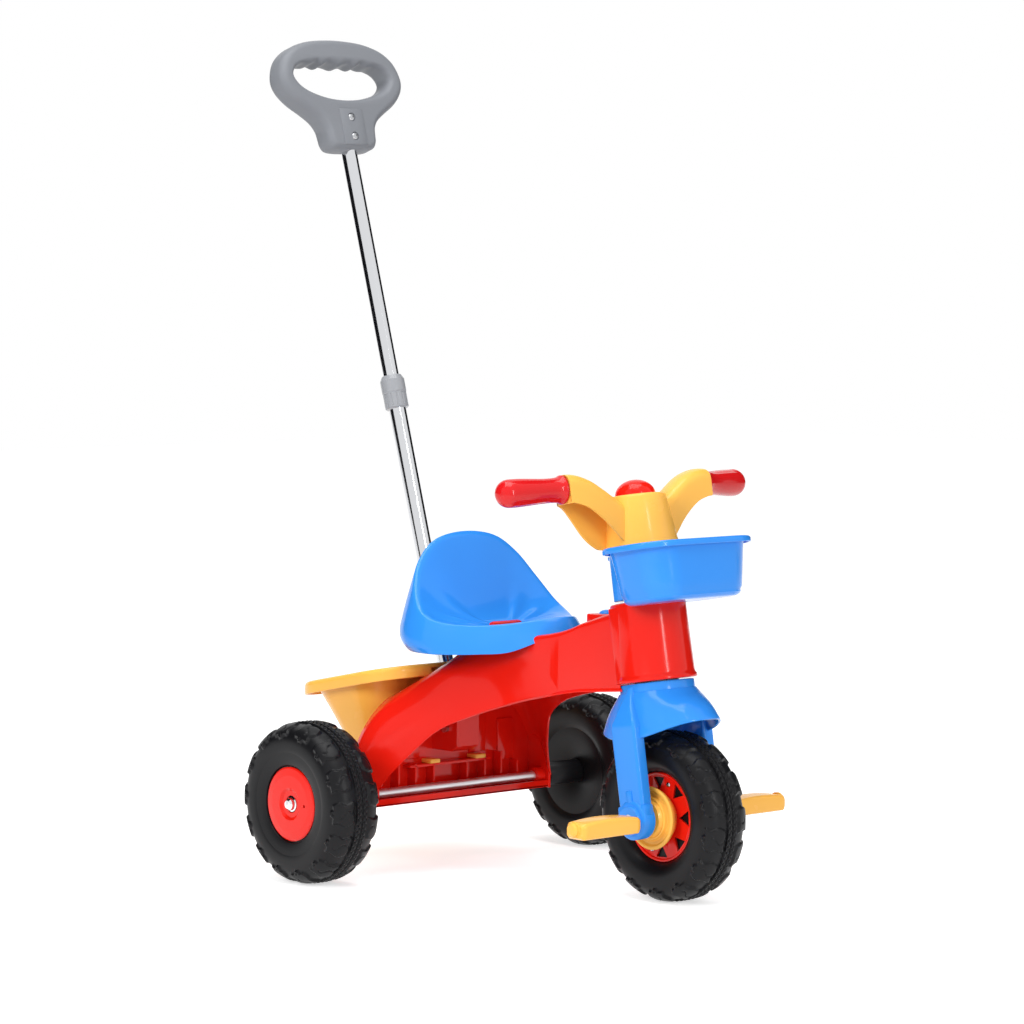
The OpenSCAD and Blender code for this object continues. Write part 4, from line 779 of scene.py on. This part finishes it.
screw_drops, well_r = (92, 114), 4.9
pad = block((-16, -16.2, handle_top - 124), (16, -6, handle_top - 82), 1.2)
handle = piece("push_handle_shell", [handle_shell()], at_bar, grey, 30)
handle_pad = piece("handle_pad", [pad], at_bar, grey, 30)
well = placed(loft([oval(well_r, well_r, z, 36) for z in (14, 20)]),
              spin(90, "X"))
wells = [piece("well", [placed(well, Matrix.Translation((0, 0, handle_top - drop)))], at_bar, grey)
         for drop in screw_drops]
cut(handle_pad, *wells)
belongs(handle, "push_bar", "handle_grey", "push_handle")
belongs(handle_pad, "push_bar", "handle_grey")
wear(smoke, "push_collar")

# Rear wheels
# Hollow black tyres, blown in one piece with their inner dish and hub tube, so that the tread's
# blocks and the lugs on both shoulders are part of the skin. A red disc closes the outer face.
black = plastic("blown black", (0.006, 0.006, 0.007), 0.36, 0.0, 0.2, 0.1)
lug_count, lug_h, sector_steps = 14, 2.4, 36


def around(finish):
    """Geometry Nodes tree that repeats a shape about its Z axis and welds the copies."""
    tree = bpy.data.node_groups.new("repeat around", "GeometryNodeTree")
    tree.interface.new_socket("Shape", in_out="INPUT", socket_type="NodeSocketGeometry")
    count = tree.interface.new_socket("Count", in_out="INPUT", socket_type="NodeSocketInt")
    tree.interface.new_socket("Result", in_out="OUTPUT", socket_type="NodeSocketGeometry")
    given = add_node(tree, "NodeGroupInput").outputs
    index = add_node(tree, "GeometryNodeInputIndex")
    line = add_node(tree, "GeometryNodeMeshLine", {"Count": given["Count"], "Offset": (0, 0, 0)})
    share = add_node(tree, "ShaderNodeMath", {0: index.outputs["Index"], 1: given["Count"]},
                     operation="DIVIDE")
    turn = add_node(tree, "ShaderNodeMath", {0: share.outputs[0], 1: 2 * math.pi},
                    operation="MULTIPLY")
    angle = add_node(tree, "ShaderNodeCombineXYZ", {"Z": turn.outputs[0]})
    spread = add_node(tree, "GeometryNodeInstanceOnPoints", {
        "Points": line.outputs["Mesh"], "Instance": given["Shape"],
        "Rotation": angle.outputs["Vector"]})
    real = add_node(tree, "GeometryNodeRealizeInstances",
                    {"Geometry": spread.outputs["Instances"]})
    weld = add_node(tree, "GeometryNodeMergeByDistance",
                    {"Geometry": real.outputs["Geometry"], "Distance": 0.00004})
    coat = add_node(tree, "GeometryNodeSetMaterial",
                    {"Geometry": weld.outputs["Geometry"], "Material": finish})
    add_node(tree, "NodeGroupOutput", {"Result": coat.outputs["Geometry"]})
    return tree, count.identifier


def repeated(made, tree, count_socket, count):
    """Runs the repeat tree on a piece drawn about its own origin, in millimetres."""
    step = made.modifiers.new("repeat", "NODES")
    step.node_group = tree
    step[count_socket] = count
    return baked(made)


def bump(x, low, high, soft):
    """1 between low and high, falling smoothly to 0 over soft on both sides."""
    t = min((x - low) / soft, (high - x) / soft)
    t = max(0.0, min(1.0, t + 0.5))
    return t * t * (3 - 2 * t)


def pattern_height(u, a):
    """Height of the blown pattern at a share u of a pitch and a section angle a in degrees."""
    side_u = u if a >= 0 else (u + 0.5) % 1
    a = abs(a)
    row = bump(a, 0.7, 6.6, 0.9)
    block_u = (6 * side_u + (0.0 if a < 3.2 else 0.5)) % 1
    tread = row * (0.5 + 0.5 * bump(block_u, 0.14, 0.86, 0.2) * (1 - bump(a, 2.7, 3.7, 0.7)))
    wave = 0.035 * math.sin(math.radians(a * 9))
    wide = bump(side_u, 0.10 + wave, 0.72 + wave, 0.05)
    reach = bump(a, 13 + 1.5 * math.sin(side_u * 2 * math.pi * 2.5), 66, 4)
    lug = wide * reach
    inner_wave = 0.41 + 0.1 * math.sin(math.radians((a - 14) * 9)) * bump(a, 14, 52, 6)
    groove = bump(side_u, inner_wave - 0.016, inner_wave + 0.016, 0.03) * bump(a, 17, 50, 4)
    knob_u, knob_a, pitch_length, degrees_per_mm = 0.41, 66, 14.5 * 2.1, 2.3
    reach_x, reach_y = (side_u - knob_u) * pitch_length, (a - knob_a) / degrees_per_mm
    knob_r = math.hypot(reach_x, reach_y)
    knob = bump(knob_r, -9, 3.6, 1.4) - bump(knob_r, -9, 1.3, 0.9) * 0.45
    return lug_h * max(tread, lug * (1 - 0.42 * groove), knob)


def tyre_sector(outer_r, inner_r, half_w, close_a):
    """One pitch of a tyre's skin, as rings of the section from one bead to the other."""
    crown, side_w = outer_r - lug_h, half_w - lug_h
    mid_r, half_h = (crown + inner_r) / 2, (crown - inner_r) / 2
    angles = [math.copysign(close_a * abs(t) ** 1.7, t) for t in (k / 60 - 1 for k in range(121))]
    rings = []
    for i in range(sector_steps + 1):
        u = i / sector_steps
        turn = 2 * math.pi * u / lug_count
        ring = []
        for a in angles:
            c, s = math.cos(math.radians(a)), math.sin(math.radians(a))
            r = mid_r + half_h * math.copysign(abs(c) ** 0.78, c)
            x = side_w * math.copysign(abs(s) ** 0.72, s)
            n = Vector((c / half_h, s / side_w)).normalized()
            h = pattern_height(u % 1, a)
            r, x = r + n.x * h, x + n.y * h
            ring.append((r * math.cos(turn), r * math.sin(turn), x))
        rings.append(ring)
    n = len(angles)
    faces = [(i * n + j, i * n + j + 1, (i + 1) * n + j + 1, (i + 1) * n + j)
             for i in range(sector_steps) for j in range(n - 1)]
    return [tuple(p) for ring in rings for p in ring], faces


def shape_of(made):
    """Takes a piece's mesh back as a shape in millimetres, and removes the piece."""
    points = [tuple(v.co * 1000) for v in made.data.vertices]
    faces = [tuple(f.vertices) for f in made.data.polygons]
    bpy.data.objects.remove(made)
    return points, faces


def blown_tyre(name, outer_r, inner_r, half_w, close_a, dish, place):
    """Tyre skin repeated about its axle, with its turned dish and hub added."""
    made = piece(name, [tyre_sector(outer_r, inner_r, half_w, close_a)], millimetres, black, 60)
    repeated(made, tread_tree, tread_count, lug_count)
    return piece(name, [shape_of(made)] + dish, place, black, 40)


tread_tree, tread_count = around(black)
sides = ((-1, "right"), (1, "left"))
hub_in, web_out, rear_rim_r, half_track, axle_bore = 70.5, 25, 40, 0.2015, 5.06
for side, label in sides:
    at_wheel = (Matrix.Translation((side * half_track, axle_y, rear_axle_z)) @ millimetres
                @ spin(side * 90, "Y"))
    rear_dish = [
        turned([(axle_bore, web_out - 1), (13, web_out - 1), (13, web_out), (45, web_out),
                (45, web_out - 3), (13, web_out - 3), (13, -web_out - 1), (13, 1 - hub_in),
                (12.2, -hub_in), (axle_bore, -hub_in)]),
        turned([(12, -22), (17, -23.6), (26, -25.8), (36, -27.2), (44, -27.6), (51, -27),
                (51, -24), (36, -23.6), (12, -19)]),
        turned([(40.4, 22), (40.4, 26.4), (41.2, 27.8), (44, 28.7), (50, 29.5), (56, 30.1),
                (56, 24)]),
    ]
    tyre = blown_tyre(f"tyre_rear_{label}", outer_r=85.5, inner_r=rear_rim_r, half_w=33,
                      close_a=158, dish=rear_dish, place=at_wheel)
    belongs(tyre, f"rear_wheel_{label}", "tyre_black", f"rear_tyre_{label}")
wear(red, "rear_disc_right", "rear_disc_left")

# Fork
# One blue moulding: a collar under the head, a bell-shaped fender over the front wheel, and two
# legs that end in round feet for the crank's bushes. The legs' tops blend into the collar.
def bell():
    """Fender with a wall, a flared brim and an open underside."""
    outside = [(51.2, 68.8, 93.2), (51, 68.4, 95), (49.6, 66, 99), (48, 61.5, 106), (46, 56, 112.5),
               (44, 50, 118), (42, 44, 123), (39.6, 39.6, 128)]
    inside = [(38, 41, 119), (41.5, 47, 114.5), (44, 53, 109), (45.8, 58.5, 103), (47.2, 62.8, 97),
              (48.4, 65.4, 93)]
    profile = curve(outside[::-1], 3) + [Vector((50.6, 68.2, 92.6)), Vector((49.6, 67, 92.4))] \
        + curve(inside[::-1], 3)
    rings = [oval(*p) for p in [(20, 20, 128)] + profile + [(20, 20, 122)]]
    return loft([[(x, y, z - 12 * abs(x / a) ** 3 * max(0, (122 - z) / 29)) for x, y, z in ring]
                 for ring, a in zip(rings, (max(p[0] for p in ring) for ring in rings))])


def leg(side):
    """Straight strap with rounded corners, whose top narrows and leans in to the collar."""
    stations = curve([(2, 17.4, 7.4, 0), (40, 17.4, 7.4, 0), (84, 17.6, 7.4, 0), (94, 17.6, 7.4, 0),
                      (99, 16.4, 7.4, -0.8), (104, 14, 7.3, -2.6), (111, 11, 7.5, -5.4),
                      (119, 8, 7.4, -9), (127, 5.6, 7, -13), (134, 4.6, 6.4, -16)], 4)
    return loft([[(side * (49 + p[3] + q.x), q.y, p[0])
                  for q in rounded(p[2], p[1], min(3.6, p[1] * 0.8), 6)] for p in stations])


def fork_foot(side):
    """Round foot with a step where it meets the leg, and the rib behind it."""
    round_foot = turned([(6.6, 41.6), (18.6, 41.6), (20, 43), (20, 56.4), (19.2, 57.6),
                         (17.5, 58.2), (15, 58.4), (14.6, 61.4), (14, 62), (6.6, 62)], 72)
    boot = block((42.4, -19.6, 0), (57, 19.6, 15.5), 3)
    rib = block((55, -4, 14), (58, 4, 30), 1)
    matrix = spin(90 * side, "Y")
    flip = Matrix.Scale(-1, 4, (1, 0, 0)) if side < 0 else Matrix.Identity(4)
    return [placed(round_foot, matrix), placed(boot, flip), placed(rib, flip)]


collar = turned([(17.2, 114), (38, 114), (38.5, 117), (38.5, 135.6), (37.6, 136.8),
                 (17.2, 136.8)], 128)
stem = turned([(4.05, 128), (17, 128), (17, 291), (16.2, 292), (4.05, 292)], 64)
fork = piece("fork_moulding", [bell(), collar, stem, leg(1), leg(-1)] + fork_foot(1)
             + fork_foot(-1), at_steering, blue, 40)
belongs(fork, "steering", "blue_plastic", "fork")
wear(nylon, "foot_bushes")
wear(zinc, "steering_rod", "rod_nut")

# Handlebar
# A yellow column on the stem with two swept arms, hollow from below, red grips on their ends,
# and a red horn button over a rubber bellows in the column's top.
grip_red = plastic("grip red", (0.62, 0.008, 0.01), 0.2, 0.3)
bellows = plastic("soft black", (0.02, 0.02, 0.02), 0.55, 0.0)
grip_x, grip_y, grip_z, sweep = 97, 3, 339, 12
arm_half, arm_wall, arm_shoulder = 15, 2.6, 13
# Along an arm: the ridge and the lower edges of its rear and its front wall, as [x, z]
arm_top = [(18, 318), (36, 328), (52, 338.5), (66, 347), (79, 352), (89, 354), (grip_x, 354)]
arm_rear = [(18, 276), (42, 276), (53, 280), (66, 290.5), (79, 307), (89, 319), (grip_x, 324)]
arm_front = [(18, 274), (33, 280), (42, 289), (53, 301), (66, 312), (79, 320), (grip_x, 325)]


def arm_point(side, p, depth):
    """A point of an arm's section: p along and up the arm, depth from its middle to the rear."""
    slant = math.tan(math.radians(sweep)) * (p.x / grip_x) ** 3
    return side * (p.x - depth * slant), grip_y * p.x / grip_x + depth, p.y


def arm_ring(side, top, rear, front, inset=0.0):
    """Section of an arm from the front wall's lower edge over the ridge to the rear wall's."""
    down = (rear - top).normalized()
    centre, half = top + down * arm_shoulder, arm_half - inset
    ring = [(front.lerp(centre, t), -half) for t in (0, 0.06, 0.5)]
    for k in range(17):
        a = math.radians(-90 + 180 * k / 16)
        rise = abs(math.cos(a)) ** 0.8 * (arm_shoulder - inset)
        ring.append((centre - down * rise, math.copysign(abs(math.sin(a)) ** 0.8, a) * half))
    ring += [(rear.lerp(centre, t), half) for t in (0.5, 0.06, 0)]
    return [arm_point(side, p, depth) for p, depth in ring]


def arm(side):
    """One arm: a thin rounded skin, open below, with a solid end that carries the grip."""
    rings = [arm_ring(side, *p) + arm_ring(side, *p, arm_wall)[::-1]
             for p in zip(*(curve(line, 5) for line in (arm_top, arm_rear, arm_front)))]
    end = [arm_ring(side, Vector((x, 354)), Vector((x, 324)), Vector((x, 324)), inset)
           for x, inset in ((93.6, 0.2), (grip_x - 0.6, 0.1), (grip_x, 0.7))]
    return [loft(rings), loft(end)]


column = turned([(17.1, 275.2), (38, 275.2), (39.4, 276.4), (39.2, 278.6), (38, 283), (35.6, 300),
                 (32.6, 320), (31.4, 326), (30.8, 327.6), (29.6, 328.9), (28.4, 329.3),
                 (21.3, 329.3), (21.3, 309), (4.1, 309), (4.1, 292.4), (17.1, 292.4)], 128)
handlebar = piece("handlebar_moulding", [column] + arm(1) + arm(-1), at_steering, yellow, 38)
belongs(handlebar, "steering", "yellow_plastic", "handlebar")


def grip_shape():
    """Sleeve with an inner flange, a waist, a closed round end and a flattened palm panel."""
    profile = curve([(0, 13.4), (0.6, 14.6), (2.6, 14.9), (4.2, 14.2), (7, 13.2), (13, 12.6),
                     (24, 12.7), (38, 13.6), (52, 14.4), (60, 14.5)], 3)
    profile += [(63 + 14 * math.sin(a), 14.4 * math.cos(a))
                for a in (math.radians(9 * k) for k in range(10))]
    rings = [oval(10.1, 10.1, z) for z in (62, 0)]
    for z, r in profile:
        flat = 0.9 * bump(z, 17, 60, 5)
        ring = []
        for k in range(72):
            a = 2 * math.pi * k / 72
            reach = r - flat * bump(abs(math.degrees(a) - 200), -1, 26, 6)
            ring.append((reach * math.cos(a), reach * math.sin(a), z))
        rings.append(ring)
    return loft(rings)


for side, label in sides:
    at_grip = (at_steering @ Matrix.Translation((side * grip_x, grip_y, grip_z))
               @ spin(side * sweep, "Z")
               @ spin(side * 90, "Y")
               @ Matrix.Translation((0, 0, 0.3)))
    grip = piece(f"handgrip_{label}", [grip_shape()], at_grip, grip_red, 50)
    belongs(grip, "steering", "grip_red", f"grip_{label}")


def dome(radius, rise, angles):
    """Arc of the horn button as [radius, height] points."""
    foot = 329.5
    return [(radius * math.cos(math.radians(a)), foot + rise * math.sin(math.radians(a)))
            for a in angles]


button = turned(dome(21, 16, range(0, 87, 5)) + [(0.02, 345.5), (0.02, 344.1)]
                + dome(18.6, 14.6, range(85, -1, -10)) + [(18.6, 324), (20.4, 324), (21, 324.6)])
horn = piece("horn_dome", [button], at_steering, red, 50)
belongs(horn, "horn", "body_red", "horn_button")
wear(bellows, "squeaker")

# Basket
# A blue tray with a flat rolled rim. Its floor and its sleeve sit on the steering stem, between
# the head and the handlebar, so the basket turns with them.
def basket_level(p):
    """The rim is level."""
    return 274.7


basket_y = -52
basket_foot = bowed(rounded(61, 37.5, 26, 12, basket_y), 2, 61, 37.5, basket_y)
basket_brim = bowed(rounded(72, 42.5, 33, 12, basket_y), 2.5, 72, 42.5, basket_y)
basket_lip = bowed(rounded(81.5, 47.5, 39, 12, basket_y), 1, 81.5, 47.5, basket_y)
basket_tray = piece("tray", [tray(basket_foot, basket_brim, basket_lip, basket_level,
                                  floor_z=214.7, wall=2.4, band=6.5, fillet=8)], millimetres, blue)
head_room = piece("head room", [loft([
    oval(r, r, z) for r, z in ((40.6, 200), (40.6, 221.4), (33, 221.6), (33, 290))])],
    millimetres, blue)
sleeve = turned([(17.1, 222.4), (33.2, 222.4), (34, 223.2), (34, 273.4), (33, 274.7),
                 (17.1, 274.7)])
ribs = [block((-1.5, 33, 224), (1.5, 37, 268), 0.7), block((-16, 28, 266), (16, 35, 270), 0.9)]
basket = piece("basket", [shape_of(cut(basket_tray, head_room)), sleeve] + ribs, at_steering,
               blue, 38)
belongs(basket, "steering", "blue_plastic", "front_basket")

# Front wheel
# The same kind of blown tyre with flat sides, between two red discs with triangular windows and
# two stepped yellow hubs, all held by small screws and driven by the crank.
web_x, crank_bore, disc_t, windows, window_turn = 14, 4.06, 2.6, 8, 3.4
front_dish = [turned([(low_r, low), (high_r, low), (high_r, high), (low_r, high)], steps)
              for low_r, high_r, low, high, steps in (
                  (crank_bore, 50, web_x - 3, web_x, 96), (crank_bore, 50, -web_x, 3 - web_x, 96),
                  (crank_bore, 12, 3 - web_x, web_x - 3, 64))]
front_tyre = blown_tyre("tyre_front", outer_r=87.5, inner_r=44, half_w=30.5, close_a=152,
                        dish=front_dish, place=at_front_wheel @ spin(90, "Y"))
belongs(front_tyre, "front_wheel", "tyre_black", "front_tyre")


def window(angle, grow):
    """Triangular window with rounded corners, its point towards the hub."""
    corners = [Vector((25, 0)), Vector((42, -10.2)), Vector((42, 10.2))]
    middle = sum(corners, Vector((0, 0))) / 3
    ring = []
    radius = 1.6
    for i, p in enumerate(corners):
        for k in range(5):
            inward = (middle - p).normalized()
            before = (corners[i - 1] - p).normalized()
            after = (corners[(i + 1) % 3] - p).normalized()
            t = k / 4
            ring.append(p + inward * radius * 0.9 + (before * (1 - t) + after * t) * radius
                        - inward * radius * 4 * t * (1 - t) * 0.35)
    c, s = math.cos(angle), math.sin(angle)
    return [Vector((p.x * c - p.y * s, p.x * s + p.y * c)) for p in shrink(ring, -grow)]


def spoked_disc():
    """Disc pierced by eight windows inside a raised, rounded rim."""
    low, high, edge = web_x, web_x + disc_t, 0.5

    def levels(ring_at):
        return [[(p.x, p.y, z) for p in ring_at(d)] for d, z in
                ((0, low), (0, high - edge), (edge * 0.3, high - edge * 0.3), (edge, high))]

    def circle(r, n=120):
        return [Vector((r * math.cos(2 * math.pi * k / n), r * math.sin(2 * math.pi * k / n)))
                for k in range(n)]

    turns = [math.radians(window_turn + 360 * k / windows) for k in range(windows)]
    holes = [levels(lambda d, a=a: window(a, d)) for a in turns]
    holes.append(levels(lambda d: circle(crank_bore + d, 40)))
    plate_part = pierced(levels(lambda d: circle(43.4 - d)), holes)
    rim = turned([(42.6, low), (46, low), (46, low + 3), (45.5, low + 3.8), (44.8, low + 4),
                  (43.8, low + 4), (43, low + 3.6), (42.6, low + 2.8)], 128)
    return [plate_part, rim]


for side, label in sides:
    at_side = at_front_wheel @ spin(side * 90, "Y")
    disc = piece(f"spoked_disc_{label}", spoked_disc(), at_side, red, 35)
    belongs(disc, "front_wheel", "disc_red", f"front_disc_{label}")
    hub = piece(f"stepped_hub_{label}", [turned(
        [(crank_bore, 16.6), (24, 16.6), (30, 25), (31.6, 28), (32.3, 29.6), (32.3, 31),
         (31.6, 31.9), (30.2, 32.2), (28.8, 31.8), (27.8, 29.8), (26.6, 29), (23.4, 28.8),
         (22.4, 29.8),
         (21.8, 31.8), (20.6, 32.4), (19.4, 32), (18.8, 33.6), (17.6, 36), (13, 37),
         (12, 40.2), (crank_bore, 40.2)])], at_side, yellow, 30)
    belongs(hub, "front_wheel", "yellow_plastic", f"front_hub_{label}")
screw_r, screw_seat = 36, web_x + disc_t
screw_shape = turned([(0.02, web_x - 2), (1.3, web_x - 2), (1.3, screw_seat), (2.6, screw_seat),
                      (2.6, screw_seat + 0.5), (1.8, screw_seat + 1.4), (0.9, screw_seat + 1.5),
                      (0.6, screw_seat + 0.6), (0.02, screw_seat + 0.6)], 24)
screws = [placed(screw_shape, spin(side * 90, "Y") @ spin(turn, "Z")
                 @ Matrix.Translation((screw_r, 0, 0)))
          for side in (-1, 1) for turn in (-18.6, 161.4)]
screw_piece = piece("rim_screws", screws, at_front_wheel, zinc, 30)
belongs(screw_piece, "front_wheel", "steel", "disc_screws")

# Crank and pedals
# A bent steel rod through the wheel and the fork's feet, with a yellow pedal on each end.
wear(zinc, "crank")
wear(yellow, "pedal_caps")
throw_r, throw_angle = 28, math.radians(8)
throw = Vector((0, -throw_r * math.cos(throw_angle), throw_r * math.sin(throw_angle)))
pedal_len, pedal_low, pedal_end, pedal_swell, pedal_round = 80, -10, 6, 3, 2.2


def pedal(side, near):
    """Barrel-topped block with rounded ends and a round boss on its outer end."""
    rings = []
    for k in range(25):
        t = k / 24
        end = min(t, 1 - t) * pedal_len
        inset_by = pedal_round - math.sqrt(
            max(0, pedal_round ** 2 - (pedal_round - min(end, pedal_round)) ** 2))
        top = pedal_end + pedal_swell * (1 - (2 * t - 1) ** 2)
        half_z = (top - pedal_low) / 2
        rings.append([(side * (near + pedal_len * t), p.x, p.y + half_z + pedal_low)
                      for p in rounded(13 - inset_by, half_z - inset_by, 3.6, 5)])
    tip = near + pedal_len
    boss = turned([(crank_bore, tip - 3), (8.2, tip - 3), (8.2, tip + 0.6), (7.6, tip + 1.2),
                   (crank_bore, tip + 1.2)], 48)
    return [loft(rings), placed(boss, spin(90 * side, "Y"))]


for side, label, near in ((-1, "right", 82), (1, "left", 104)):
    pedal_piece = piece(f"pedal_block_{label}", pedal(side, near),
                        at_front_wheel @ Matrix.Translation(-side * throw), yellow, 40)
    belongs(pedal_piece, f"{label}_pedal", "yellow_plastic", f"pedal_{label}")
